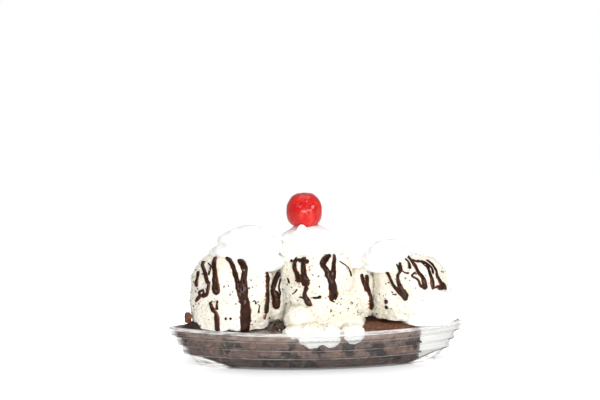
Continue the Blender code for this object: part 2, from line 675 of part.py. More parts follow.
def build_cream(material):
    left = dollop_body(CREAM_LEFT, material=material)
    cut(left, scoop_body(SCOOP_LEFT, GAP), scoop_body(SCOOP_TOP, GAP), dollop_body(CREAM_TOP, GAP))
    top = dollop_body(CREAM_TOP, material=material)
    cut(top, scoop_body(SCOOP_TOP, GAP), cherry_body(GAP))
    right = dollop_body(CREAM_RIGHT, material=material)
    cut(right, scoop_body(SCOOP_RIGHT, GAP), scoop_body(SCOOP_TOP, GAP), scoop_body(SCOOP_LOW, GAP))
    end = dollop_body(CREAM_END, material=material)
    plug = cavity("plug", PLUG_TOP)
    cut(plug, block("keep", Vector((-FAR, -FAR, -FAR)), Vector((BROWNIE_END + GAP, FAR, FAR))))
    join(end, [plug, dollop_body(CREAM_LOBE)])
    cut(end, scoop_body(SCOOP_RIGHT, GAP), brownie_block(BROWNIES[-1]))


def main():
    for obj in list(bpy.data.objects):
        bpy.data.objects.remove(obj)
    build_dish(new_material("clear_plastic", (0.93, 0.94, 0.94), 0.05, 0.95))
    build_sauce(new_material("fudge", (0.045, 0.016, 0.008), 0.12))
    build_brownies(new_material("brownie", (0.13, 0.055, 0.03), 0.8))
    build_ice_cream(new_material("ice_cream", (0.93, 0.88, 0.76), 0.5))
    build_cream(new_material("whipped_cream", (0.95, 0.93, 0.87), 0.6))
    cherry_body(material=new_material("cherry", (0.72, 0.02, 0.02), 0.15))


main()
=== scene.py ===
"""The looks of a brownie sundae in a clear boat dish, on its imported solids.

Metres, +Z up, +X along the dish, front at -Y. Each solid is replaced by a finer mesh of the same form, made
by the same formulas, with torn ice cream, runny chocolate, crumbs and flecks added.
"""

import math
from collections import namedtuple

import bmesh
import bpy
import numpy as np
from mathutils import Matrix, Vector, noise


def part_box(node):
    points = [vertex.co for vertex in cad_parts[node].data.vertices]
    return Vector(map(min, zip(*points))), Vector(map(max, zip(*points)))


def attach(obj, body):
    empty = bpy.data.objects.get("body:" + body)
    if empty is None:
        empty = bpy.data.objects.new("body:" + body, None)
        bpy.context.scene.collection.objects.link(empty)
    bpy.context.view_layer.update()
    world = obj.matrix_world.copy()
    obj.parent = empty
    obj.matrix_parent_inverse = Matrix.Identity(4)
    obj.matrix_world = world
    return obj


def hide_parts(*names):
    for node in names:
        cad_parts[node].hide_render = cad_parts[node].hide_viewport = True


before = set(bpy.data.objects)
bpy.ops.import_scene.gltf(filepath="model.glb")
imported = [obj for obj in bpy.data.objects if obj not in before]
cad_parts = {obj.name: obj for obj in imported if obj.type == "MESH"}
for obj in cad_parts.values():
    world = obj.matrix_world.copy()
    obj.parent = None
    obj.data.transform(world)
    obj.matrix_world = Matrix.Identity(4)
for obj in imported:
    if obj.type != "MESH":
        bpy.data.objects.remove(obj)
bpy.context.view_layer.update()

MM = 0.001
REACH = 0.1 * MM  # the contents reach this far into the dish's wall, so that no air shows

# The dish, as in the solids
WALL = 1.4 * MM
LIP = 1.2 * MM
LIP_HEIGHT = 2.6 * MM
LIP_ROUND = 0.5 * MM
FOOT_LEAN = 0.385
LEDGE = 0.167
LEDGE_RISE = 0.6 * MM
LEDGE_ROOM = 0.6
LEDGES = [8 * MM, 14.1 * MM, 20.2 * MM]
HAZE = 0.02  # cloudiness of the plastic, from 0 to 1
# Painted highlights: pale lines on the ledges, the fine ribs and the rim, mixed into the plastic's haze
LEDGE_HIGHLIGHT = 0.75
RIB_HIGHLIGHT = 0.1
RIM_HIGHLIGHT = 0.6
HIGHLIGHT_REACH = 0.26 * MM
# Painted light: the dish's ends and the skirt below them are made pale white
END_PAINTED_LIGHT = 0.9  # at the dish's ends and on the skirt below them
END_REACH = 5 * MM
RIB = 0.07 * MM  # fine ribs between the ledges
RIB_SPACING = 2 * MM
FOOT_LENGTH = 168 * MM
FOOT_WIDTH = 57 * MM
DISH_LENGTH = 210 * MM
DISH_WIDTH = 81 * MM
DISH_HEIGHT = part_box("dish")[1].z
LIP_FOOT = DISH_HEIGHT - LIP_HEIGHT
FOOT_ROUNDNESS = 0.67
RIM_ROUNDNESS = 0.14
FLOOR = 2 * MM
FLAT_HALF_LENGTH = 63 * MM
FLOOR_RISE = 5.9 * MM
RISE_LENGTH = 20 * MM
RISE_POWER = 1.15
DISH_STATIONS = 400
WALL_STEP = 0.2 * MM

# The contents of the dish
SAUCE_LEVEL = DISH_HEIGHT - 0.2 * MM
BED = DISH_HEIGHT + 0.35 * MM
BROWNIE_END = 71.5 * MM
BROWNIE_POWER = 7
NUGGET_POWER = 4.5
CRUMB_LUMP = 0.9 * MM
CRUMB_SIZE = 8 * MM
FINE_CRUMB = 0.5 * MM
FINE_CRUMB_SIZE = 2.4 * MM
BROWNIE_CUTS = 44
SAUCE_WAVE = 0.7 * MM
WAVE_SIZE = 7 * MM
END_WAVE = 1.3 * MM
WAVY_END = 5 * MM

# The ice cream
UPPER_POWER = 2.5
LOWER_POWER = 3.5
SCOOP_LUMP = 1.2 * MM
LUMP_SIZE = 10 * MM
SMALL_LUMP = 0.5
SMALL_LUMPS = 2.2
SKIRT = 1.6 * MM
SKIRT_HEIGHT = 7 * MM
SKIRT_EVEN = 0.6
SKIRT_WAVES = 3

# The whipped cream
GROOVE = 0.17
GROOVE_POWER = 0.7
RIDGE = 0.02
RIDGES = 8
CREAM_FULLNESS = 2.3
RIDGE_TWIST = 0.6
RUFFLE = 0.08
RUFFLE_SCALE = 1.6
RUFFLE_RISE = 3
FOOT_SHARE = 0.86
FOOT_HEIGHT = 0.2
LAST_RING = 0.985

# The cherry
CHERRY_RADIUS = 12.6 * MM
CHERRY_HEIGHT = 25.6 * MM
CHERRY_FULLNESS = 3.0
CHERRY_DIMPLE = 1.8 * MM
DIMPLE_WIDTH = 0.32


def mm(x, y, z):
    return np.array((x, y, z)) * MM


CHERRY_CENTRE = mm(-9.6, 0, 108.8)

Scoop = namedtuple("Scoop", "name centre half_axes depth bottom seed")
SCOOP_LEFT = Scoop("scoop_left", mm(-60.8, 0, 53), mm(28.9, 27, 28), 33 * MM, BED, 3)
SCOOP_TOP = Scoop("scoop_centre", mm(-1.3, -3, 62.6), mm(25.6, 25, 20), 23 * MM, 44.3 * MM, 11)
SCOOP_LOW = Scoop("scoop_centre_lower", mm(4, -1, 36), mm(28.2, 27, 23), 26 * MM, BED, 23)
SCOOP_RIGHT = Scoop("scoop_right", mm(65.5, 0, 52.5), mm(27.3, 26.4, 23.6), 30 * MM, 32 * MM, 37)
SQUEEZED_LEFT = Scoop("squeezed_left", mm(-30.5, 4, 49), mm(8, 17, 19), 20 * MM, 30 * MM, 51)
SQUEEZED_RIGHT = Scoop("squeezed_right", mm(31, 4, 49.5), mm(10, 16, 17), 18 * MM, 33 * MM, 57)

# Drips: width in mm, then azimuths and elevations in degrees from the scoop's centre
DRIPS_LEFT = [
    (4.0, (-15, 56), (-5, 46), (1, 30), (6, 9), (11, -8)),
    (5.6, (14, 52), (17, 36), (13, 18), (15, -10), (16, -42)),
    (4.2, (-48, 56), (-35, 35), (-31, 22), (-28, 6)),
    (3.2, (-70, 44), (-58, 35), (-49, 28), (-44, 19)),
    (3.0, (-66, 28), (-64, 22), (-65, 12)),
    (2.8, (-40, 18), (-42, 2), (-50, -2)),
    (2.4, (-52, 5), (-58, 2), (-56, -3), (-64, -10)),
    (3.2, (-38, -12), (-34, -21), (-29, -26), (-28, -42)),
    (4.0, (64, 36), (56, 17), (54, 4), (57, -8), (55, -24)),
]
DRIPS_TOP = [
    (4.0, (-54, 38), (-47, 19), (-40, 8), (-36, 2)),
    (4.6, (-34, 36), (-29, 14), (-25, -4)),
    (5.0, (22, 44), (4, 28), (10, 14), (18, -6), (22, -32)),
    (3.4, (36, 42), (24, 24), (19, 4)),
    (3.6, (-24, -12), (-27, -24), (-20, -36)),
]
DRIPS_RIGHT = [
    (2.7, (-54, 30), (-45, 24), (-34, 9), (-16, -9)),
    (2.8, (-32, 48), (-26, 34), (-29, 24), (-25, 10), (-15, -5)),
    (3.0, (-19, 72), (-2, 48), (5, 31), (11, 22), (14, 8)),
    (2.6, (12, 54), (26, 40), (26, 24), (28, 6)),
    (2.5, (40, 52), (42, 40), (40, 24), (52, 4)),
]
DRIPS_SQUEEZED_LEFT = [
    (4.6, (15, 58), (1, 46), (-6, 32), (-10, 14), (-2, 2), (-1, -18)),
    (1.9, (14, 44), (6, 24), (10, 8), (4, -4)),
    (1.8, (-22, 48), (-24, 34), (-14, 24)),
]
DRIPS_SQUEEZED_RIGHT = [
    (3.4, (-4, 48), (2, 27), (12, 14)),
    (4.2, (14, 45), (12, 18), (21, -6), (29, -34)),
]
BACK_DRIPS = 3
BACK_SPREAD = 140
BACK_TOP = 52
BACK_END = -12
BACK_UNEVEN = 40
BACK_STRAY = 20
BACK_BEND = 5
BACK_DRIP_WIDTH = 4.4
BACK_DRIP_SWELL = 0.4

# Thin strands and spots of chocolate that the solids leave out, and one dark strand of painted shade
STRANDS_LEFT = [
    (1.8, (-26, -8), (-27, -13), (-27, -18)),
    (1.2, (54, -18), (55, -26), (52, -34)),
    (1.4, (-50, 7), (-48, 2)),
    (1.3, (-15, -30), (-14, -31)),
    (1.3, (-8, -30), (-7, -31)),
    (1.0, (27, -10), (30, -9), (32, -13)),
    (1.3, (38, -16), (36, -24)),
    (1.2, (-54, 44), (-45, 40), (-42, 28)),
]
STRANDS_TOP = [
    (3.0, (-60, 28), (-54, 33), (-40, 32), (-26, 30)),
    (1.5, (-13, -27), (-8, -27), (-2, -25)),
    (1.6, (-35, -26), (-31, -27), (-27, -28)),
    # Painted shade: a thin dark strand in the shaded crease between the ball and the cream
    (1.0, (40, 29), (53, 17), (60, 2)),
    (1.2, (-60, 0), (-56, -6)),
    (1.0, (-48, -22), (-44, -20), (-40, -16)),
]
STRANDS_RIGHT = [
    (1.9, (0, 30), (-6, 25), (3, 19), (7, 10), (14, 8)),
    (2.2, (-2, 54), (11, 50), (22, 51), (32, 39)),
    (1.1, (-27, 37), (-18, 30), (-12, 29)),
    (1.0, (-36, -4), (-31, -4)),
    (2.0, (28, 15), (29, 6), (44, 6), (59, 1)),
    (2.4, (43, 44), (41, 32), (39, 22)),
    (2.2, (-47, -14), (-46, -15)),
    (2.0, (-47, -22), (-46, -23)),
    (1.4, (-42, 48), (-29, 34), (-29, 22)),
    (1.6, (-28, 61), (-13, 50), (-9, 38)),
    (1.3, (29, 48), (34, 39), (33, 28)),
    (2.2, (37, 7), (46, 2), (56, 4), (52, 9)),
]

Lobe = namedtuple("Lobe", "centre half_axes")
LOBES = [
    Lobe(mm(-19, -31.5, 27), mm(9.5, 8, 5)),
    Lobe(mm(-8.5, -33.5, 25), mm(10.5, 9, 8.6)),
    Lobe(mm(4.5, -33.5, 25), mm(7.5, 9, 8.4)),
    Lobe(mm(20.2, -32.5, 25.5), mm(8.2, 9, 7)),
]
LUMPS = [
    Lobe(mm(-14, -19, 33), mm(12, 10, 12)),
    Lobe(mm(4, -24, 31), mm(11, 8, 8)),
    Lobe(mm(21.8, -17, 29), mm(8.8, 9, 7)),
]
RECESS = Lobe(mm(18, -26, 40), mm(19, 12, 10))  # a smooth hollow that only the looks have
RECESS_DEPTH = 0.8 * MM
CREAM_PEAK = [
    Lobe(mm(-12.6, -11, 94.8), mm(3.9, 3, 5)),
    Lobe(mm(-12, -9.6, 90.5), mm(9, 6, 6)),
]
MOUNDS = [
    Lobe(mm(-30, -16, 24), mm(8, 11, 9.5)),
    Lobe(mm(-29, 14, 24), mm(7, 11, 8)),
    Lobe(mm(-87.4, -9.3, 26.1), mm(10.3, 9, 6.9)),
]

Brownie = namedtuple("Brownie", "name low high turn seed")
BROWNIES = [
    Brownie("brownie_left", mm(-88, -21, 6), mm(-37.5, 22, 23.4), 2.0, 5),
    Brownie("brownie_middle", mm(-33.5, -27, 5.5), mm(18, 28, 23.4), -1.5, 17),
    Brownie("brownie_right", mm(22, -27.5, 6.5), mm(69, 26, 29.8), 1.0, 29),
    Brownie("brownie_nugget", mm(-94.2, -8.5, 30.8), mm(-89.8, -3, 38.2), 10, 41),
]

Dollop = namedtuple("Dollop", "name foot tip half_length half_width turns seed")
CREAM_LEFT = Dollop("cream_left", mm(-50, 0, 67), mm(-49, 1, 98.5), 29 * MM, 22 * MM, 2.6, 2)
CREAM_TOP = Dollop("cream_centre", mm(-2, -1, 71), mm(-8, 0, 99), 26 * MM, 22 * MM, 2.8, 6)
CREAM_RIGHT = Dollop("cream_right", mm(49, -1, 65), mm(51, 0, 87), 20 * MM, 18 * MM, 2.4, 9)
CREAM_END = Dollop("cream_end", mm(77, -3, 28.4), mm(81, -3, 58), 26 * MM, 24 * MM, 2.5, 13)
CREAM_LOBE = Dollop("cream_lobe", mm(76, -17, 29), mm(78, -15, 55), 21 * MM, 15 * MM, 2.0, 15)

# Detail that only the looks have
SCOOP_COLUMNS = 360
SCOOP_ROWS = 190
TEAR = 0.95 * MM
TEAR_SIZE = 4.5 * MM
TEAR_STRETCH = 1.9  # tears run round a scoop rather than up it
PIT = 1.1 * MM
PIT_SIZE = 1.6 * MM
PATCH_SIZE = 15 * MM
ICE_PASSES = 25
ICE_HOLLOW = 0.55 * MM
DRIP_HEIGHT = 1.35 * MM
DRIP_STEP = math.radians(0.5)
DRIP_STATIONS = 90
DRIP_UNEVEN = 0.22
DRIP_LUMP = 3.5 * MM
FULL_RADIUS = 2.3 * MM  # of a drip that stands DRIP_HEIGHT high
SHEET_DEPTH = 1.6 * MM
VOXEL = 0.5 * MM
CREAM_COLUMNS = 260
CREAM_ROWS = 130
CREAM_EASE = 14
CREAM_PASSES = 40
CREAM_HOLLOW = 0.5 * MM
FOLD = 0.6 * MM
FOLD_SIZE = 9 * MM
WRINKLE = 0.22 * MM
WRINKLE_SINK = 0.17 * MM
FLECKS = 1400
FLECK_SIZE = (0.25 * MM, 1.1 * MM)

# The stage and the lamps: place, size in metres, and brightness of white paper held up to it
FLOOR_RADIUS = 0.8
FLOOR_GLOW = 0.18
GLOW_REACH = (0.06, 0.17)  # between these distances the floor turns white to the camera
FLOOR_SIDES = 96
ROOM_LIGHT = 0.4
LAMPS = {
    "top": ((0.0, 0.1, 1.0), (0.8, 0.6), 0.27),
    "front_left": ((-0.6, -0.8, 0.6), (0.2, 0.3), 0.08),
    "spark": ((0.15, -0.55, 0.75), (0.012, 0.04), 0.12),
    "glint": ((-0.3, -0.7, 0.45), (0.012, 0.04), 0.12),
    "front_right": ((0.7, -0.6, 0.4), (0.25, 0.25), 0.19),
    "low": ((0.1, -0.95, 0.10), (0.9, 0.16), 0.5),
}

# The camera, fitted to the photo
AZIMUTH = math.radians(-7.3)
ELEVATION = math.radians(6.4)
DISTANCE = 1.3
PIXEL = 0.7095 * MM  # size of a pixel at the dish
WIDTH, HEIGHT = 600, 400
FOOT_PIXEL = (317.5, 361.5)  # where the origin shows
SENSOR = 36


def smooth_step(value):
    share = np.clip(value, 0.0, 1.0)
    return share * share * (3 - 2 * share)


def sampled(points, size, seed, sample):
    places = np.asarray(points).reshape(-1, 3) / size + np.array((seed, 0.0, 0.0))
    return np.array([sample(place) for place in places.tolist()]).reshape(np.shape(points)[:-1])


def noise_at(points, size, seed=0.0):
    """Even noise, about -1 to 1, at each point of an array."""
    return sampled(points, size, seed, noise.noise)


def rough_at(points, size, seed, octaves=3):
    """Noise with finer noise on it, about -1 to 1, at each point of an array."""
    return sampled(points, size, seed, lambda place: noise.fractal(place, 0.8, 2.1, octaves))


def new_object(name, data):
    obj = bpy.data.objects.new(name, data)
    bpy.context.scene.collection.objects.link(obj)
    return obj


def mesh_object(name, points, faces, material=None, smooth=True):
    """A new object from an array of points and a list of faces, facing outwards."""
    mesh = bpy.data.meshes.new(name)
    mesh.from_pydata(np.asarray(points).reshape(-1, 3).tolist(), [], faces)
    shape = bmesh.new()
    shape.from_mesh(mesh)
    bmesh.ops.recalc_face_normals(shape, faces=shape.faces)
    shape.to_mesh(mesh)
    shape.free()
    if smooth:
        mesh.shade_smooth()
    if material:
        mesh.materials.append(material)
    return new_object(name, mesh)


def loft(name, rings, start, end, material=None):
    """A closed solid through an array of rings, rows by columns by 3, and two end points."""
    rings = np.asarray(rings)
    rows, count = rings.shape[:2]
    points = np.concatenate([np.reshape(start, (1, 3)), rings.reshape(-1, 3), np.reshape(end, (1, 3))])
    k = np.arange(count)
    following = (k + 1) % count
    faces = np.stack([np.zeros(count, int), 1 + following, 1 + k], axis=1).tolist()
    for row in range(rows - 1):
        low, high = 1 + row * count, 1 + (row + 1) * count
        faces += np.stack([low + k, low + following, high + following, high + k], axis=1).tolist()
    ring, last = 1 + (rows - 1) * count, 1 + rows * count
    faces += np.stack([np.full(count, last), ring + k, ring + following], axis=1).tolist()
    return mesh_object(name, points, faces, material)


def turns_round(count):
    return 2 * np.pi * np.arange(count) / count


def globe_angles(rows, columns):
    """Slopes and turns of the rings of a ball, as two grids."""
    slopes = np.pi * (np.arange(1, rows) / rows - 0.5)
    return np.meshgrid(slopes, turns_round(columns), indexing="ij")


def vectors_of(items, name):
    vectors = np.empty(len(items) * 3)
    items.foreach_get(name, vectors)
    return vectors.reshape(-1, 3)


def points_of(obj):
    return vectors_of(obj.data.vertices, "co")


def normals_of(obj):
    return vectors_of(obj.data.vertex_normals, "vector")


def set_points(obj, points):
    obj.data.vertices.foreach_set("co", points.ravel())
    obj.data.update()


def merge(name, objects, smoothing, material):
    """One even skin round several overlapping objects, which are used up."""
    bpy.context.view_layer.update()
    whole = objects[0]
    shape = bmesh.new()
    for obj in objects:
        shape.from_mesh(obj.data)
    shape.to_mesh(whole.data)
    shape.free()
    for obj in objects[1:]:
        bpy.data.objects.remove(obj)
    whole.name = name
    skin = whole.modifiers.new("skin", "REMESH")
    skin.mode = "VOXEL"
    skin.voxel_size = VOXEL
    ease = whole.modifiers.new("ease", "SMOOTH")
    ease.factor = 0.5
    ease.iterations = smoothing
    graph = bpy.context.evaluated_depsgraph_get()
    baked = bpy.data.meshes.new_from_object(whole.evaluated_get(graph))
    before = whole.data
    whole.modifiers.clear()
    whole.data = baked
    bpy.data.meshes.remove(before)
    baked.materials.clear()
    baked.materials.append(material)
    baked.shade_smooth()
    return whole


def add_attribute(obj, name, values):
    layer = obj.data.attributes.new(name, "FLOAT", "POINT")
    layer.data.foreach_set("value", np.asarray(values, np.float32).ravel())


def add_hollows(obj, passes, reach, extra=0.0):
    """Marks how far each point lies in a hollow or a crease, as a share of reach, for the shade painted
    there.
    """
    edges = np.empty(len(obj.data.edges) * 2, int)
    obj.data.edges.foreach_get("vertices", edges)
    first, second = edges.reshape(-1, 2).T
    points = points_of(obj)
    count = np.bincount(edges, minlength=len(points))[:, None]
    eased = points.copy()
    for _ in range(passes):
        total = np.zeros_like(eased)
        for axis in range(3):
            total[:, axis] = np.bincount(first, eased[second, axis], len(points))
            total[:, axis] += np.bincount(second, eased[first, axis], len(points))
        eased = total / count
    depth = ((eased - points) * normals_of(obj)).sum(axis=1)
    add_attribute(obj, "hollow", np.clip(depth / reach + extra, 0, 1))


def finish_piece(obj, slot, *nodes):
    """The piece rides with the dish and stands for these nodes, which it hides; the slot is not used."""
    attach(obj, "root")
    if nodes:
        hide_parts(*nodes)


# Shader nodes


def new_material(name):
    material = bpy.data.materials.new(name)
    material.use_nodes = True
    return material, material.node_tree, material.node_tree.nodes["Principled BSDF"]


def feed(node, inputs):
    """Links each input to its socket, or sets it to its number, vector or colour."""
    for key, value in inputs.items():
        socket = node.inputs[key]
        if isinstance(value, bpy.types.NodeSocket):
            node.id_data.links.new(value, socket)
        else:
            socket.default_value = (*value, 1) if socket.type == "RGBA" else value


def add_node(tree, kind, inputs=None, **settings):
    node = tree.nodes.new(kind)
    for key, value in settings.items():
        setattr(node, key, value)
    feed(node, inputs or {})
    return node


def place_of(tree):
    return add_node(tree, "ShaderNodeTexCoord").outputs["Object"]


def height_node(tree):
    return add_node(tree, "ShaderNodeSeparateXYZ", {"Vector": place_of(tree)}).outputs["Z"]


def attribute_node(tree, name):
    return add_node(tree, "ShaderNodeAttribute", attribute_name=name).outputs["Fac"]


def noise_node(tree, size, detail=3.0, roughness=0.55, stretch=(1, 1, 1)):
    """Noise whose lumps are about size metres across."""
    mapping = add_node(tree, "ShaderNodeMapping", {"Scale": stretch, "Vector": place_of(tree)})
    return add_node(tree, "ShaderNodeTexNoise", {
        "Scale": 1 / size, "Detail": detail, "Roughness": roughness, "Vector": mapping.outputs["Vector"],
    }).outputs["Fac"]


def ramp_node(value, stops):
    """Colours along a value: stops are (position, colour)."""
    node = add_node(value.id_data, "ShaderNodeValToRGB", {"Fac": value})
    ramp = node.color_ramp
    while len(ramp.elements) < len(stops):
        ramp.elements.new(0.5)
    for element, (position, colour) in zip(ramp.elements, stops):
        element.position = position
        element.color = (*colour, 1)
    return node.outputs["Color"]


def range_node(value, low, high, start=0.0, end=1.0):
    """From start to end, smoothly, as the value goes from low to high."""
    return add_node(value.id_data, "ShaderNodeMapRange", {
        "Value": value, "From Min": low, "From Max": high, "To Min": start, "To Max": end,
    }, interpolation_type="SMOOTHSTEP").outputs["Result"]


def math_node(operation, first, second):
    return add_node(first.id_data, "ShaderNodeMath", {0: first, 1: second}, operation=operation).outputs[0]


def mix_colours(share, first, second):
    """Share of the second colour over the first, each a socket or a value."""
    inputs = {0: share, 6: first, 7: second}
    return add_node(share.id_data, "ShaderNodeMix", inputs, data_type="RGBA").outputs[2]


def mix_shaders(share, first, second):
    return add_node(share.id_data, "ShaderNodeMixShader", {0: share, 1: first, 2: second}).outputs[0]


def patchy_roughness(tree, size, low, high):
    """Varies between low and high over patches about size metres across."""
    return range_node(noise_node(tree, size), 0.33, 0.68, low, high)


def add_bump(shader, *layers):
    """Relief from layers of noise: each has its depth and then noise_node's values."""
    normal = {}
    for depth, *lumps in layers:
        height = noise_node(shader.id_data, *lumps)
        node = add_node(shader.id_data, "ShaderNodeBump", {"Height": height, "Distance": depth, **normal})
        normal = {"Normal": node.outputs["Normal"]}
    feed(shader, normal)


def ice_cream_material():
    material, tree, shader = new_material("ice_cream")
    tint = ramp_node(noise_node(tree, 14 * MM), [
        (0.3, (0.84, 0.78, 0.65)), (0.5, (0.88, 0.83, 0.72)), (0.7, (0.91, 0.87, 0.78)),
    ])
    # Painted shade: hollows and creases are tinted a darker beige
    hollow = range_node(attribute_node(tree, "hollow"), 0.1, 1.0, 0.0, 0.75)
    shaded = mix_colours(hollow, tint, (0.80, 0.74, 0.58))
    # Painted light: below the rim, where the wall shades it, the ice cream is made near white
    in_dish = range_node(height_node(tree), SAUCE_LEVEL - MM, BED + 3 * MM, 1.0, 0.0)
    shaded = mix_colours(in_dish, shaded, (0.985, 0.98, 0.965))
    uneven = range_node(noise_node(tree, 6 * MM, 2), 0.45, 0.68, 0.0, 0.75)
    stain = math_node("MULTIPLY", attribute_node(tree, "stain"), uneven)
    feed(shader, {
        "Base Color": mix_colours(stain, shaded, (0.52, 0.25, 0.10)),
        "Roughness": patchy_roughness(tree, 5 * MM, 0.32, 0.6), "Specular IOR Level": 0.4,
        "Subsurface Weight": 0.35, "Subsurface Radius": (1.0, 0.75, 0.5), "Subsurface Scale": 2.5 * MM,
    })
    add_bump(shader, (0.5 * MM, 2.2 * MM, 4, 0.6), (0.12 * MM, 0.5 * MM, 2))
    return material


def cream_material():
    material, tree, shader = new_material("whipped_cream")
    tint = ramp_node(noise_node(tree, 9 * MM), [
        (0.3, (0.96, 0.95, 0.90)), (0.6, (0.98, 0.975, 0.955)),
    ])
    # Painted shade: hollows and folds are tinted a darker, yellower cream
    hollow = range_node(attribute_node(tree, "hollow"), 0.1, 1.0, 0.0, 0.6)
    feed(shader, {
        "Base Color": mix_colours(hollow, tint, (0.90, 0.86, 0.66)),
        "Roughness": 0.55, "Specular IOR Level": 0.3,
        "Subsurface Weight": 0.5, "Subsurface Radius": (1.0, 0.9, 0.75), "Subsurface Scale": 3 * MM,
    })
    add_bump(shader, (0.25 * MM, 3.5 * MM, 3), (0.05 * MM, 0.7 * MM, 2))
    return material


def chocolate_material():
    material, tree, shader = new_material("chocolate_syrup")
    thick = attribute_node(tree, "thickness")
    thin = ramp_node(thick, [
        (0.0, (0.34, 0.09, 0.018)), (0.35, (0.11, 0.025, 0.007)), (0.8, (0.024, 0.007, 0.003)),
    ])
    full = ramp_node(thick, [(0.0, (0.06, 0.014, 0.005)), (0.3, (0.020, 0.004, 0.001))])
    patches = range_node(noise_node(tree, 7 * MM, 2), 0.45, 0.6)
    feed(shader, {
        "Base Color": mix_colours(patches, full, thin),
        "Roughness": patchy_roughness(tree, 4 * MM, 0.1, 0.28),
        "Specular IOR Level": 0.12, "Specular Tint": (1, 0.7, 0.55),
        "Coat Weight": 0.26, "Coat Roughness": 0.04,
    })
    add_bump(shader, (0.35 * MM, 2 * MM, 3))
    return material


def fleck_material():
    material, tree, shader = new_material("chocolate_flecks")
    colour = ramp_node(noise_node(tree, 3 * MM), [
        (0.35, (0.03, 0.018, 0.012)), (0.65, (0.11, 0.07, 0.05)),
    ])
    feed(shader, {"Base Color": colour, "Roughness": 0.5})
    return material


def brownie_material():
    material, tree, shader = new_material("brownie")
    tint = ramp_node(noise_node(tree, 2.4 * MM, 5, 0.65), [
        (0.3, (0.045, 0.014, 0.006)), (0.5, (0.14, 0.045, 0.019)), (0.72, (0.26, 0.10, 0.045)),
    ])
    feed(shader, {"Base Color": tint, "Roughness": 0.75})
    add_bump(shader, (0.6 * MM, 1.6 * MM, 5, 0.7), (0.15 * MM, 0.4 * MM, 2))
    return material


def sauce_material():
    """Sauce and crumbs of brownie pressed against the wall, with a pale film of melted cream near the rim."""
    material, tree, shader = new_material("chocolate_sauce")
    height = height_node(tree)
    crumb = ramp_node(noise_node(tree, 3 * MM, 5, 0.65), [
        (0.3, (0.085, 0.048, 0.036)), (0.55, (0.18, 0.112, 0.088)), (0.78, (0.27, 0.165, 0.115)),
    ])
    low = range_node(height, 6 * MM, 11 * MM, 0.75, 0.0)
    crumb = mix_colours(low, crumb, (0.045, 0.018, 0.014))
    orange = range_node(noise_node(tree, 6 * MM, 4, 0.6), 0.62, 0.68, 0.0, 0.8)
    crumb = mix_colours(orange, crumb, (0.40, 0.20, 0.12))
    patches = range_node(noise_node(tree, 12 * MM, 3, 0.5), 0.41, 0.47)
    mixed = mix_colours(patches, (0.022, 0.010, 0.007), crumb)
    film = range_node(height, 16.5 * MM, 24 * MM, 0.0, 0.75)
    uneven = range_node(noise_node(tree, 8 * MM, 4, 0.6, (1, 1, 3)), 0.3, 0.7, 0.2, 1.0)
    below_rim = range_node(height, SAUCE_LEVEL - 0.6 * MM, SAUCE_LEVEL, 1.0, 0.0)
    kept = math_node("MULTIPLY", math_node("MULTIPLY", film, uneven), below_rim)
    filmed = mix_colours(kept, mixed, (0.56, 0.42, 0.35))
    above = range_node(height, SAUCE_LEVEL - 1.2 * MM, SAUCE_LEVEL + 0.4 * MM)
    syrup = ramp_node(noise_node(tree, 2.6 * MM, 3), [
        (0.42, (0.012, 0.004, 0.002)), (0.6, (0.05, 0.018, 0.009)), (0.75, (0.2, 0.085, 0.045)),
    ])
    feed(shader, {
        "Base Color": mix_colours(above, filmed, syrup),
        "Roughness": patchy_roughness(tree, 6 * MM, 0.12, 0.4),
        "Specular IOR Level": 0.15, "Coat Weight": above, "Coat Roughness": 0.06,
    })
    add_bump(shader, (0.35 * MM, 4 * MM, 4), (0.08 * MM, 0.9 * MM, 2))
    return material


def cherry_material():
    material, tree, shader = new_material("cherry")
    tint = ramp_node(noise_node(tree, 5 * MM, 3), [
        (0.3, (0.46, 0.003, 0.003)), (0.55, (0.60, 0.006, 0.005)), (0.8, (0.78, 0.06, 0.03)),
    ])
    feed(shader, {
        "Base Color": tint, "Roughness": patchy_roughness(tree, 2 * MM, 0.1, 0.28),
        "Specular IOR Level": 0.1, "Coat Weight": 0.65, "Coat Roughness": 0.02,
        "Subsurface Weight": 0.4, "Subsurface Radius": (1.0, 0.12, 0.08), "Subsurface Scale": 4 * MM,
    })
    add_bump(shader, (1.7 * MM, 3 * MM, 1, 0.5, (1, 1, 0.5)))
    return material


def plastic_material():
    """Thin clear plastic, faintly hazy, with pale painted highlights on the ledges, ribs and rim, and painted
    light at the ends.
    """
    material, tree, shader = new_material("clear_plastic")
    wave = add_node(tree, "ShaderNodeBump", {"Height": noise_node(tree, 10 * MM, 2), "Distance": 0.25 * MM})
    wavy = {"Normal": wave.outputs["Normal"]}
    feed(shader, {"Base Color": (0.96, 0.94, 0.925), "Roughness": 0.35, **wavy})
    clear = add_node(tree, "ShaderNodeBsdfTransparent", {"Color": (0.996, 0.996, 0.995)})
    shine = {"Color": (0.65, 0.65, 0.65), "Roughness": 0.06, **wavy}
    gloss = add_node(tree, "ShaderNodeBsdfGlossy", shine)
    fresnel = add_node(tree, "ShaderNodeFresnel", {"IOR": 1.5, **wavy})
    film = mix_shaders(fresnel.outputs["Fac"], clear.outputs["BSDF"], gloss.outputs["BSDF"])
    # A pale shader mixed in by the attribute: faint haze, painted highlights and painted light
    patchy = range_node(noise_node(tree, 12 * MM, 4, 0.6, (1, 1, 8)), 0.34, 0.6, 0.3, 1.0)
    haze_and_painted_light = math_node("MULTIPLY", attribute_node(tree, "haze_and_painted_light"), patchy)
    feed(tree.nodes["Material Output"], {"Surface": mix_shaders(haze_and_painted_light, film, shader.outputs["BSDF"])})
    return material


# The dish and what fills it


def outline(half_length, half_width, roundness):
    """The dish's boat-shaped outline, seen from above, as an array of points."""
    angles = turns_round(DISH_STATIONS)
    across = np.sin(angles)
    return half_length * np.cos(angles), half_width * across * (roundness + (1 - roundness) * np.abs(across))


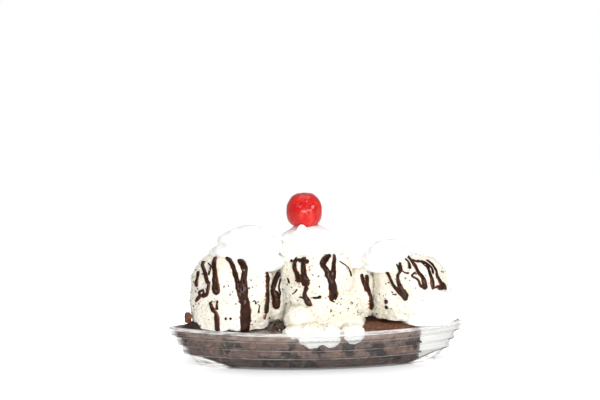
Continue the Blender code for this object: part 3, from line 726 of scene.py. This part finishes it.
def wall_sizes(height, inset=0.0):
    lean = np.clip(height / LIP_FOOT, 0, 1)
    low = np.clip(height / LEDGES[0], 0, 1)
    high = np.clip((height - LEDGES[0]) / (LIP_FOOT - LEDGES[0]), 0, 1)
    steps = sum(smooth_step((height - ledge - inset * LEDGE_ROOM) / LEDGE_RISE) for ledge in LEDGES)
    out = FOOT_LEAN * low + LEDGE * steps + (1 - FOOT_LEAN - LEDGE * len(LEDGES)) * high
    half_length = FOOT_LENGTH / 2 + out * ((DISH_LENGTH - FOOT_LENGTH) / 2 - LIP)
    half_width = FOOT_WIDTH / 2 + out * ((DISH_WIDTH - FOOT_WIDTH) / 2 - LIP)
    return half_length - inset, half_width - inset, FOOT_ROUNDNESS + (RIM_ROUNDNESS - FOOT_ROUNDNESS) * lean


def half_width_at(x, height, inset):
    """Half the width of the room within the wall, at arrays of x and height."""
    half_length, half_width, roundness = wall_sizes(height, inset)
    across = np.sqrt(np.clip(1 - (x / half_length) ** 2, 0, 1))
    return half_width * across * (roundness + (1 - roundness) * across)


def floor_height(x):
    beyond = np.maximum(np.abs(x) - FLAT_HALF_LENGTH, 0.0)
    return FLOOR + FLOOR_RISE * np.minimum(beyond / RISE_LENGTH, 1.0) ** RISE_POWER


def wall_ring(height, inset):
    """The wall's ring at a height, or at an array of heights, inset from its outer side."""
    x, y = outline(*wall_sizes(height, inset))
    return np.stack([x, y, np.full(len(x), height)], axis=-1)


def floor_edge(inset, offset):
    """The ring where the wall, inset from its outer side, meets the floor moved up by offset."""
    ring = wall_ring(FLOOR + offset, inset)
    for _ in range(20):
        ring = wall_ring(floor_height(ring[:, 0]) + offset, inset)
    return ring


def floor_rings(edge, offset):
    rings = []
    for share in (0.9, 0.75, 0.6, 0.45, 0.3, 0.15):
        ring = edge * share
        ring[:, 2] = floor_height(ring[:, 0]) + offset
        rings.append(ring)
    return rings


def wall_column(top, inset, edge):
    """Rings up the wall from just over the floor's edge, which isn't level, to the height top."""
    count = max(int((top - FLOOR) / (2 * WALL_STEP)), 2)
    low = edge[:, 2]
    rings = [wall_ring(low + (top - low) * (k / count), inset) for k in range(1, count)]
    return rings + [wall_ring(top, inset)]


def arc_profile(centre, radius, start, end, count=5):
    """(height, inset) pairs round a quarter of a circle."""
    turns = np.radians(np.linspace(start, end, count))
    return [(centre[0] + radius * math.sin(turn), centre[1] - radius * math.cos(turn)) for turn in turns]


def haze_and_highlight_at(height):
    """The outside of the plastic at this height: a faint haze, and pale painted highlights on the ledges, the
    fine ribs and the rim.
    """
    ledges = sum(math.exp(-(((height - ledge - LEDGE_RISE / 2) / HIGHLIGHT_REACH) ** 2)) for ledge in LEDGES)
    fine = max(math.cos(2 * math.pi * (height - LEDGES[0]) / RIB_SPACING), 0) ** 8
    rim = float(smooth_step((height - LIP_FOOT) / LIP_ROUND))
    return min(HAZE + LEDGE_HIGHLIGHT * ledges + RIB_HIGHLIGHT * fine + RIM_HIGHLIGHT * rim, 1)


def build_dish(material):
    under_edge = floor_edge(WALL, -WALL)
    under = floor_rings(under_edge, -WALL)[::-1] + [under_edge]
    foot = arc_profile((WALL / 2, WALL / 2), WALL / 2, -180, 0, 9)
    foot = [(max(height, 0.0), inset) for height, inset in foot]
    heights = np.arange(WALL / 2 + WALL_STEP, LIP_FOOT, WALL_STEP)
    ribs = RIB * np.clip(np.cos(2 * np.pi * (heights - LEDGES[0]) / RIB_SPACING), 0, 1) ** 4
    sides = [(height, -rib) for height, rib in zip(heights, ribs)]
    top, out = DISH_HEIGHT - LIP_ROUND, LIP_ROUND - LIP
    lip = [(LIP_FOOT, 0.0)] + arc_profile((LIP_FOOT + LIP_ROUND, out), LIP_ROUND, -90, 0)
    lip += arc_profile((top, out), LIP_ROUND, 0, 90)
    lip += arc_profile((top, WALL - LIP_ROUND), LIP_ROUND, 90, 180)
    profile = foot + sides + lip
    outside = [wall_ring(height, inset) for height, inset in profile]
    edge = floor_edge(WALL, 0)
    inside = wall_column(top - 0.3 * MM, WALL, edge)[::-1]
    rings = under + outside + inside + [edge] + floor_rings(edge, 0)
    dish = loft("clear_dish", rings, (0, 0, FLOOR - WALL), (0, 0, FLOOR), material)
    haze_and_painted_light = np.full((len(rings), DISH_STATIONS), HAZE)
    first = len(under)
    for row, (ring, (height, _)) in enumerate(zip(outside, profile)):
        along = np.abs(ring[:, 0])
        # Painted light: pale white at the dish's ends and on the skirt below them
        end = smooth_step(1 + (along - along.max()) / END_REACH)
        skirt = smooth_step((floor_height(along) - height) / MM)
        skirt *= smooth_step((along - FLAT_HALF_LENGTH) / END_REACH)
        haze_and_painted_light[first + row] = np.clip(haze_and_highlight_at(height) + END_PAINTED_LIGHT * np.maximum(end, skirt), 0, 1)
    add_attribute(dish, "haze_and_painted_light", np.concatenate([[HAZE], haze_and_painted_light.ravel(), [HAZE]]))
    finish_piece(dish, "clear_plastic", "dish")


def filling(name, top, inset, offset, material):
    """What fills the dish up to the height top."""
    edge = floor_edge(inset, offset)
    rings = floor_rings(edge, offset)[::-1] + [edge] + wall_column(top, inset, edge)
    rim = rings[-1]
    for share in (0.985, 0.96, *np.linspace(0.92, 0.02, 46)):
        ring = rim * share
        ring[:, 2] = top
        rings.append(ring)
    return loft(name, rings, (0, 0, FLOOR + offset), (0, 0, top), material)


def keep_side(obj, x, keep_low):
    """Cuts the object at a plane across X, and closes the cut."""
    shape = bmesh.new()
    shape.from_mesh(obj.data)
    cut = bmesh.ops.bisect_plane(
        shape, geom=[*shape.verts, *shape.edges, *shape.faces], plane_co=(x, 0, 0), plane_no=(1, 0, 0),
        clear_outer=keep_low, clear_inner=not keep_low,
    )
    edges = [item for item in cut["geom_cut"] if isinstance(item, bmesh.types.BMEdge)]
    bmesh.ops.holes_fill(shape, edges=edges)
    bmesh.ops.recalc_face_normals(shape, faces=shape.faces)
    shape.to_mesh(obj.data)
    shape.free()


def heap_height(points, lobes):
    """How high the lobes reach over each point."""
    height = np.zeros(len(points))
    for lobe in lobes:
        off = (points[:, :2] - lobe.centre[:2]) / lobe.half_axes[:2]
        left = np.clip(1 - (off**2).sum(axis=1), 0, 1)
        height = np.maximum(height, lobe.centre[2] + lobe.half_axes[2] * np.sqrt(left) * (left > 0))
    return height


def build_sauce(material):
    sauce = filling("chocolate_sauce", SAUCE_LEVEL, WALL - REACH, -REACH, material)
    keep_side(sauce, BROWNIE_END, True)
    points = points_of(sauce)
    surface = points[:, 2] > SAUCE_LEVEL - 1e-6
    across = points * np.array((0, 1, 1))
    near_end = smooth_step(1 - (BROWNIE_END - points[:, 0]) / WAVY_END)
    points[:, 0] += near_end * (END_WAVE * rough_at(across, WAVE_SIZE, 31.0) - 0.3 * MM)
    away = half_width_at(points[:, 0], SAUCE_LEVEL, WALL) - np.abs(points[:, 1])
    inner = smooth_step(away / (3 * MM)) * surface
    lift = np.zeros(len(points))
    lift[surface] = -0.5 * MM + SAUCE_WAVE * rough_at(points[surface], WAVE_SIZE, 4.0)
    heap = np.maximum(heap_height(points, MOUNDS) - SAUCE_LEVEL, 0)
    heap *= 1 + 0.45 * noise_at(points, 3.2 * MM, 8.0)
    points[:, 2] += np.where(surface, lift * inner + heap * smooth_step(away / (1.5 * MM)), 0)
    set_points(sauce, points)
    finish_piece(sauce, "chocolate_sauce", "fudge_sauce")


def build_brownies(material):
    shape = bmesh.new()
    bmesh.ops.create_cube(shape, size=2)
    bmesh.ops.subdivide_edges(shape, edges=shape.edges, cuts=BROWNIE_CUTS, use_grid_fill=True)
    shape.verts.index_update()
    directions = np.array([vertex.co for vertex in shape.verts])
    faces = [[vertex.index for vertex in face.verts] for face in shape.faces]
    shape.free()
    outward = directions / np.linalg.norm(directions, axis=1)[:, None]
    for brownie in BROWNIES:
        middle, half = (brownie.low + brownie.high) / 2, (brownie.high - brownie.low) / 2
        power = NUGGET_POWER if brownie.name == "brownie_nugget" else BROWNIE_POWER
        reach = (np.abs(directions) ** power).sum(axis=1) ** (-1 / power)
        points = directions * reach[:, None] * half
        crumb = CRUMB_LUMP * noise_at(points + middle, CRUMB_SIZE, brownie.seed)
        crumb += FINE_CRUMB * rough_at(points + middle, FINE_CRUMB_SIZE, brownie.seed, 4)
        turn = np.array(Matrix.Rotation(math.radians(brownie.turn), 3, "Z"))
        points = (points + outward * crumb[:, None]) @ turn.T + middle
        piece = mesh_object(brownie.name + "_crumb", points, faces, material)
        press_inside(piece, WALL + 0.5 * MM)
        finish_piece(piece, "brownie", brownie.name)


def press_inside(obj, inset, top=DISH_HEIGHT):
    """Moves the points that are lower than top back within the wall."""
    points = points_of(obj)
    low = points[:, 2] < top
    limit = half_width_at(points[:, 0], np.minimum(points[:, 2], DISH_HEIGHT), inset)
    held = np.clip(points[:, 1], -limit, limit)
    points[:, 1] = np.where(low, held, points[:, 1])
    set_points(obj, points)


# Ice cream


def scoop_surface(scoop, azimuth, elevation):
    """Points of a scoop's surface and the directions to them from its centre, at arrays of angles."""
    level = np.cos(elevation)
    direction = np.stack([np.sin(azimuth) * level, -np.cos(azimuth) * level, np.sin(elevation)], axis=-1)
    across = np.hypot(direction[..., 0] / scoop.half_axes[0], direction[..., 1] / scoop.half_axes[1])
    upper = direction[..., 2] > 0
    power = np.where(upper, UPPER_POWER, LOWER_POWER)
    height = np.where(upper, scoop.half_axes[2], scoop.depth)
    reach = (across**power + (np.abs(direction[..., 2]) / height) ** power) ** (-1 / power)
    smooth = scoop.centre + direction * reach[..., None]
    lump = noise_at(smooth, LUMP_SIZE, scoop.seed)
    lump += SMALL_LUMP * noise_at(smooth, LUMP_SIZE / SMALL_LUMPS, scoop.seed)
    foot = smooth_step(1 - (smooth[..., 2] - scoop.bottom) / SKIRT_HEIGHT)
    round_it = np.stack([np.cos(azimuth), np.sin(azimuth), np.zeros_like(azimuth)], axis=-1)
    frill = SKIRT_EVEN + noise_at(round_it, 1 / SKIRT_WAVES, scoop.seed)
    points = smooth + direction * (SCOOP_LUMP * lump + SKIRT * foot * frill)[..., None]
    return points, direction


def scoop_edge(scoop):
    drop = scoop.centre[2] - scoop.bottom
    spread = scoop.half_axes[0] * (1 - (drop / scoop.depth) ** LOWER_POWER) ** (1 / LOWER_POWER)
    return -math.atan2(drop, spread)


def back_drips(scoop):
    drips = []
    for k in range(BACK_DRIPS):
        uneven = noise.noise(Vector((scoop.seed, k, 0)) * math.pi)
        azimuth = 180 + BACK_SPREAD * ((k + 0.5) / BACK_DRIPS - 0.5) + BACK_STRAY * uneven
        lowest = BACK_END + BACK_UNEVEN * noise.noise(Vector((scoop.seed, k, 1)) * math.e)
        bend = BACK_BEND * uneven
        path = [(azimuth, BACK_TOP), (azimuth + bend, (BACK_TOP + lowest) / 2), (azimuth - bend, lowest)]
        drips.append((BACK_DRIP_WIDTH * (1 + BACK_DRIP_SWELL * uneven), *path))
    return drips


def path_points(path):
    """Azimuths and elevations, in radians, along a smooth curve through the path's points."""
    places = np.array(path, float)
    found = []
    for share in np.linspace(0, 1, DRIP_STATIONS):
        along = share * (len(path) - 1)
        k = min(int(along), len(path) - 2)
        t = along - k
        before, first, second, after = [places[min(max(k + i, 0), len(path) - 1)] for i in (-1, 0, 1, 2)]
        found.append(0.5 * (
            2 * first
            + (second - before) * t
            + (2 * before - 5 * first + 4 * second - after) * t * t
            + (3 * first - before - 3 * second + after) * t**3
        ))
    return np.radians(np.array(found)).T


def chocolate_level(scoop, surface, drips):
    """How far the chocolate stands over each point on the scoop, and below 0 where there is none."""
    flat = surface.reshape(-1, 3)
    level = np.full(len(flat), -1.0)
    for number, (width, *path) in enumerate(drips):
        azimuth, elevation = path_points(path)
        spine = scoop_surface(scoop, azimuth, elevation)[0]
        share = np.linspace(0, 1, len(spine))
        radius = width * MM / 2 * (0.85 + 0.45 * smooth_step((share - 0.5) / 0.4))
        radius *= 1 + DRIP_UNEVEN * noise_at(spine, DRIP_LUMP, number * 3.1)
        radius *= smooth_step(0.35 + share / 0.08)
        near = np.flatnonzero(
            ((flat > spine.min(axis=0) - 5 * MM) & (flat < spine.max(axis=0) + 5 * MM)).all(axis=1)
        )
        if not len(near):
            continue
        best = np.full(len(near), -1.0)
        for centre, size in zip(spine, radius):
            off = ((flat[near] - centre) ** 2).sum(axis=1)
            rise = 1 - off / size**2
            fuller = np.where(rise > 0, np.sqrt(size / FULL_RADIUS), 1.0)
            best = np.maximum(best, fuller * np.maximum(rise, -1))
        level[near] = np.maximum(level[near], best)
    top = DRIP_HEIGHT * np.clip(level, 0, None) ** 0.6
    return np.where(level > 0, top, DRIP_HEIGHT * level * 0.8).reshape(surface.shape[:-1])


def tear_depth(points, scoop):
    """Torn, icy roughness, deeper in patches and towards the scoop's foot."""
    stretched = points * np.array((1, 1, TEAR_STRETCH))
    ragged = 1 - 2 * np.abs(rough_at(stretched, TEAR_SIZE, scoop.seed + 20))
    pits = np.clip(noise_at(points, PIT_SIZE, scoop.seed + 40) - 0.12, 0, 1)
    patches = smooth_step(0.5 + 1.6 * noise_at(points, PATCH_SIZE, scoop.seed + 60))
    foot = smooth_step(1 - (points[..., 2] - scoop.bottom) / (0.55 * 2 * scoop.half_axes[2]))
    strength = np.clip(0.25 + 0.5 * patches + 0.6 * foot, 0, 1.2)
    return strength * (TEAR * (ragged - 0.35) - PIT * pits)


def scoop_piece(scoop, drips, material):
    """A scoop of torn ice cream, and how high chocolate would lie on each of its points."""
    edge = scoop_edge(scoop)
    flat = edge - (math.pi / 2 + edge) * np.linspace(0.95, 0.08, 10)
    dome = np.linspace(edge, math.pi / 2, SCOOP_ROWS, endpoint=False)
    rows = np.concatenate([flat, dome])
    elevation, azimuth = np.meshgrid(rows, turns_round(SCOOP_COLUMNS), indexing="ij")
    points, direction = scoop_surface(scoop, azimuth, elevation)
    level = chocolate_level(scoop, points, drips) if drips else np.full(azimuth.shape, -1.0)
    clear = 1 - smooth_step((level + 0.6 * MM) / (0.6 * MM))
    points = points + direction * (tear_depth(points, scoop) * (0.25 + 0.75 * clear))[..., None]
    points[..., 2] = np.maximum(points[..., 2], scoop.bottom)
    ends = [scoop_surface(scoop, np.array([0.0]), np.array([side * math.pi / 2]))[0][0] for side in (-1, 1)]
    ends[0][2] = scoop.bottom
    piece = loft(scoop.name + "_torn", points, *ends, material)
    stain = smooth_step(1 + level / (0.9 * MM)).ravel()
    add_attribute(piece, "stain", np.concatenate([[0.0], stain, [0.0]]))
    add_hollows(piece, ICE_PASSES, ICE_HOLLOW)
    return piece


def drip_piece(scoop, drips, material):
    """The chocolate on a scoop as one closed sheet, which dips under the ice cream at its edge."""
    elevations = [place[1] for _, *path in drips for place in path]
    low, high = min(elevations) - 12, min(max(elevations) + 8, 86)
    rows = np.arange(math.radians(low), math.radians(high), DRIP_STEP)
    columns = np.arange(0, 2 * math.pi, DRIP_STEP)
    elevation, azimuth = np.meshgrid(rows, columns, indexing="ij")
    surface, direction = scoop_surface(scoop, azimuth, elevation)
    level = chocolate_level(scoop, surface, drips)
    lift = np.maximum(level, -0.8 * MM) + 0.05 * MM
    top = surface + direction * lift[..., None]
    top[..., 2] = np.maximum(top[..., 2], scoop.bottom)
    bottom = surface - direction * SHEET_DEPTH
    index = np.arange(level.size).reshape(level.shape)
    following = np.roll(index, -1, axis=1)
    quads = np.stack([index[:-1], following[:-1], following[1:], index[1:]], axis=-1).reshape(-1, 4)
    quads = quads[(level.ravel() > -0.7 * MM)[quads].any(axis=1)]
    used, packed = np.unique(quads, return_inverse=True)
    packed = packed.reshape(quads.shape)
    count = len(used)
    points = np.concatenate([top.reshape(-1, 3)[used], bottom.reshape(-1, 3)[used]])
    sides = np.concatenate([packed[:, [k, (k + 1) % 4]] for k in range(4)])
    _, first, times = np.unique(np.sort(sides, axis=1), axis=0, return_index=True, return_counts=True)
    rim = sides[first[times == 1]]
    walls = np.stack([rim[:, 1], rim[:, 0], rim[:, 0] + count, rim[:, 1] + count], axis=1)
    faces = packed.tolist() + (packed[:, ::-1] + count).tolist() + walls.tolist()
    piece = mesh_object(scoop.name + "_chocolate", points, faces, material)
    thickness = np.clip(level.ravel()[used] / DRIP_HEIGHT, 0, 1)
    add_attribute(piece, "thickness", np.concatenate([thickness, np.zeros(count)]))
    return piece


def ellipsoid(name, lobe):
    slope, turn = globe_angles(36, 64)
    unit = np.stack([np.cos(slope) * np.cos(turn), np.cos(slope) * np.sin(turn), np.sin(slope)], axis=-1)
    pole = np.array((0, 0, lobe.half_axes[2]))
    return loft(name, lobe.centre + unit * lobe.half_axes, lobe.centre - pole, lobe.centre + pole)


def build_ice_cream(material, chocolate):
    sets = (
        (SCOOP_LEFT, DRIPS_LEFT + STRANDS_LEFT + back_drips(SCOOP_LEFT), "scoop_left"),
        (SCOOP_TOP, DRIPS_TOP + STRANDS_TOP + back_drips(SCOOP_TOP), "scoop_centre"),
        (SCOOP_RIGHT, DRIPS_RIGHT + STRANDS_RIGHT + back_drips(SCOOP_RIGHT), "scoop_right"),
        (SQUEEZED_LEFT, DRIPS_SQUEEZED_LEFT, "scoop_left"),
        (SQUEEZED_RIGHT, DRIPS_SQUEEZED_RIGHT, "scoop_right"),
    )
    for scoop, drips, node in sets:
        finish_piece(scoop_piece(scoop, drips, material), "ice_cream", node)
        finish_piece(drip_piece(scoop, drips, chocolate), "chocolate_sauce", node)


def build_low_scoop(material):
    """The middle scoop's torn lower part, and the melt that runs down from it inside the wall."""
    low = scoop_piece(SCOOP_LOW, [], material)
    melt = [ellipsoid("melt", lobe) for lobe in LUMPS + LOBES]
    whole = merge("scoop_centre_lower_torn", [low, *melt], 3, material)
    points, normals = points_of(whole), normals_of(whole)
    depth = tear_depth(points, SCOOP_LOW)
    off = (points - RECESS.centre) / RECESS.half_axes
    scooped = smooth_step(2 * (1 - np.sqrt((off**2).sum(axis=1))))
    points += normals * (depth * (1 - 0.8 * scooped) - RECESS_DEPTH * scooped)[:, None]
    set_points(whole, points)
    press_inside(whole, WALL - REACH - 0.05 * MM, SCOOP_LOW.centre[2])
    # Painted shade: the recess under the upper ball counts as deeper, so it is tinted darker
    add_hollows(whole, ICE_PASSES, ICE_HOLLOW, 0.4 * scooped)
    finish_piece(whole, "ice_cream", "scoop_centre_lower")


# Whipped cream


def dollop_mesh(dollop):
    shares = LAST_RING * np.linspace(0, 1, CREAM_ROWS)
    turn, share = np.meshgrid(turns_round(CREAM_COLUMNS), shares, indexing="xy")
    groove = np.abs(np.sin(np.pi * (dollop.turns * share - turn / (2 * np.pi)))) ** GROOVE_POWER
    ridge = np.cos(RIDGES * (turn + RIDGE_TWIST * 2 * np.pi * share))
    foot = FOOT_SHARE + (1 - FOOT_SHARE) * smooth_step(share / FOOT_HEIGHT)
    profile = np.sqrt(1 - share**CREAM_FULLNESS) * foot
    place = np.stack([
        np.cos(turn) * RUFFLE_SCALE + dollop.seed, np.sin(turn) * RUFFLE_SCALE, share * RUFFLE_RISE,
    ], axis=-1)
    radius = profile * (1 - GROOVE * (1 - groove) + RIDGE * ridge + RUFFLE * noise_at(place, 1.0))
    middle = dollop.foot + (dollop.tip - dollop.foot) * share[..., None]
    across = np.stack([
        dollop.half_length * radius * np.cos(turn),
        dollop.half_width * radius * np.sin(turn),
        np.zeros_like(turn),
    ], axis=-1)
    return loft(dollop.name, middle + across, dollop.foot, dollop.tip)


def build_cream(material):
    """Soft folds of whipped cream, and the cream that fills the dish's right end."""
    heaps = {
        "cream_left": ([CREAM_LEFT], []),
        "cream_centre": ([CREAM_TOP], CREAM_PEAK),
        "cream_right": ([CREAM_RIGHT], []),
        "cream_end": ([CREAM_END, CREAM_LOBE], []),
    }
    for node, (dollops, lobes) in heaps.items():
        shapes = [dollop_mesh(dollop) for dollop in dollops] + [ellipsoid("peak", lobe) for lobe in lobes]
        piece = merge(node + "_folds", shapes, CREAM_EASE, material)
        points, normals = points_of(piece), normals_of(piece)
        folds = rough_at(points * np.array((1, 1, 1.5)), FOLD_SIZE, 5.0, 2)
        set_points(piece, points + normals * (FOLD * folds)[:, None])
        add_hollows(piece, CREAM_PASSES, CREAM_HOLLOW)
        finish_piece(piece, "whipped_cream", node)
    top = CREAM_END.foot[2] + 0.2 * MM
    plug = filling("cream_end_filling", top, WALL - 0.5 * REACH, -0.5 * REACH, material)
    points = points_of(plug)
    uneven = 0.9 * MM * (0.8 + rough_at(points, 8 * MM, 2.0, 2))
    points[:, 2] -= np.where(points[:, 2] > top - 1e-6, uneven, 0)
    set_points(plug, points)
    keep_side(plug, BROWNIE_END - 1.5 * MM, False)
    finish_piece(plug, "whipped_cream", "cream_end")


# The cherry, flecks and crumbs


def build_cherry(material):
    slope, turn = globe_angles(110, 160)
    fuller = (1 - np.abs(np.sin(slope)) ** CHERRY_FULLNESS) ** (1 / CHERRY_FULLNESS)
    spread = np.where(slope > 0, np.cos(slope), fuller)
    dimple = np.where(slope > 0, CHERRY_DIMPLE * np.exp(-((spread / DIMPLE_WIDTH) ** 2)), 0)
    unit = np.stack([spread * np.cos(turn), spread * np.sin(turn), np.sin(slope)], axis=-1)
    points = CHERRY_CENTRE + unit * np.array((CHERRY_RADIUS, CHERRY_RADIUS, CHERRY_HEIGHT / 2))
    points[..., 2] -= dimple
    wrinkle = rough_at(unit * np.array((1, 1, 0.55)), 0.42, 3.0)
    points += unit * (WRINKLE * wrinkle - WRINKLE_SINK)[..., None]
    ends = [CHERRY_CENTRE + np.array((0, 0, side * CHERRY_HEIGHT / 2)) for side in (-1, 1)]
    ends[1][2] -= CHERRY_DIMPLE
    finish_piece(loft("cherry_skin", points, *ends, material), "cherry", "cherry")


def fleck_shape(rng):
    """Points and faces of one small angular fleck about 2 across."""
    corners = np.array([
        (-1, 0, 0), (1, 0, 0), (0, -0.7, 0), (0, 0.7, 0), (0, 0, 0.5), (0, 0, -0.5),
        (0.6, 0.5, 0.3), (-0.6, -0.5, 0.3),
    ]) * rng.uniform(0.7, 1.3, (8, 1))
    faces = [
        (0, 7, 4), (0, 4, 3), (0, 3, 5), (0, 5, 2), (0, 2, 7), (7, 2, 4),
        (1, 4, 2), (1, 2, 5), (1, 5, 3), (1, 3, 6), (1, 6, 4), (6, 3, 4),
    ]
    return corners, faces


def build_flecks(material):
    """Dark flecks, half sunk in the ice cream."""
    rng = np.random.default_rng(21)
    points, faces = [], []
    shares = ((SCOOP_LEFT, 0.36), (SCOOP_TOP, 0.22), (SCOOP_LOW, 0.2), (SCOOP_RIGHT, 0.22))
    for scoop, share in shares:
        count = int(FLECKS * share)
        azimuth = rng.uniform(-math.pi, math.pi, count)
        elevation = rng.uniform(scoop_edge(scoop) + 0.06, 0.75, count)
        places, direction = scoop_surface(scoop, azimuth, elevation)
        sunk = tear_depth(places, scoop)
        for place, outward, depth in zip(places, direction, sunk):
            size = FLECK_SIZE[0] + (FLECK_SIZE[1] - FLECK_SIZE[0]) * rng.random() ** 2.5
            corners, sides = fleck_shape(rng)
            turn = np.array(Vector((0, 0, 1)).rotation_difference(Vector(outward)).to_matrix())
            spin = np.array(Matrix.Rotation(rng.uniform(0, 2 * math.pi), 3, "Z"))
            start = len(points) * len(corners)
            points.append(corners * size @ spin.T @ turn.T + place + outward * (depth + 0.02 * MM))
            faces += [tuple(corner + start for corner in side) for side in sides]
    piece = mesh_object("chocolate_flecks", np.concatenate(points), faces, material, smooth=False)
    finish_piece(piece, "brownie")


# The stage


def build_stage():
    """A white floor, and white beyond it, with softer light from all round."""
    turns = turns_round(FLOOR_SIDES)
    points = np.stack([np.cos(turns), np.sin(turns), np.zeros(FLOOR_SIDES)], axis=1) * FLOOR_RADIUS
    material, tree, shader = new_material("floor")
    distance = add_node(tree, "ShaderNodeVectorMath", {0: place_of(tree)}, operation="LENGTH")
    white = range_node(distance.outputs["Value"], *GLOW_REACH)
    seen = add_node(tree, "ShaderNodeLightPath").outputs["Is Camera Ray"]
    feed(shader, {
        "Base Color": (0.92, 0.92, 0.92), "Roughness": 0.9, "Emission Color": (1, 1, 1),
        "Emission Strength": math_node("ADD", math_node("MULTIPLY", white, seen), FLOOR_GLOW),
    })
    floor = mesh_object("floor", points, [list(range(FLOOR_SIDES))], material)
    floor.location.z = -0.05 * MM
    world = bpy.data.worlds.new("studio")
    world.use_nodes = True
    seen = add_node(world.node_tree, "ShaderNodeLightPath").outputs["Is Camera Ray"]
    strength = add_node(world.node_tree, "ShaderNodeMapRange", {
        "Value": seen, "To Min": ROOM_LIGHT, "To Max": 1.0,
    })
    background = world.node_tree.nodes["Background"]
    feed(background, {"Color": (1, 1, 1), "Strength": strength.outputs["Result"]})
    bpy.context.scene.world = world


def build_lights():
    """Soft lamps that face the object, as bright as LAMPS says where they reach it."""
    for name, (location, size, power) in LAMPS.items():
        data = bpy.data.lights.new(name, "AREA")
        data.shape = "RECTANGLE"
        data.size, data.size_y = size
        away = Vector(location) - Vector((0, 0, 0.05))
        data.energy = power * math.pi**2 * away.length_squared
        light = new_object(name, data)
        light.location = location
        light.rotation_euler = away.to_track_quat("Z", "Y").to_euler()


def build_camera():
    back = Vector((
        math.sin(AZIMUTH) * math.cos(ELEVATION),
        -math.cos(AZIMUTH) * math.cos(ELEVATION),
        math.sin(ELEVATION),
    ))
    right = Vector((math.cos(AZIMUTH), math.sin(AZIMUTH), 0))
    up = back.cross(right)
    target = right * ((WIDTH / 2 - FOOT_PIXEL[0]) * PIXEL) + up * ((FOOT_PIXEL[1] - HEIGHT / 2) * PIXEL)
    data = bpy.data.cameras.new("camera")
    data.sensor_width = SENSOR
    data.lens = SENSOR * DISTANCE / (WIDTH * PIXEL)
    camera = new_object("camera", data)
    camera.location = target + back * DISTANCE
    camera.rotation_mode = "QUATERNION"
    camera.rotation_quaternion = back.to_track_quat("Z", "Y")
    bpy.context.scene.camera = camera


def main():
    bpy.context.scene.view_settings.view_transform = "Standard"
    ice_cream, chocolate = ice_cream_material(), chocolate_material()
    build_dish(plastic_material())
    build_sauce(sauce_material())
    build_brownies(brownie_material())
    build_ice_cream(ice_cream, chocolate)
    build_low_scoop(ice_cream)
    build_cream(cream_material())
    build_cherry(cherry_material())
    build_flecks(fleck_material())
    build_stage()
    build_lights()
    build_camera()
    bpy.context.view_layer.update()


main()
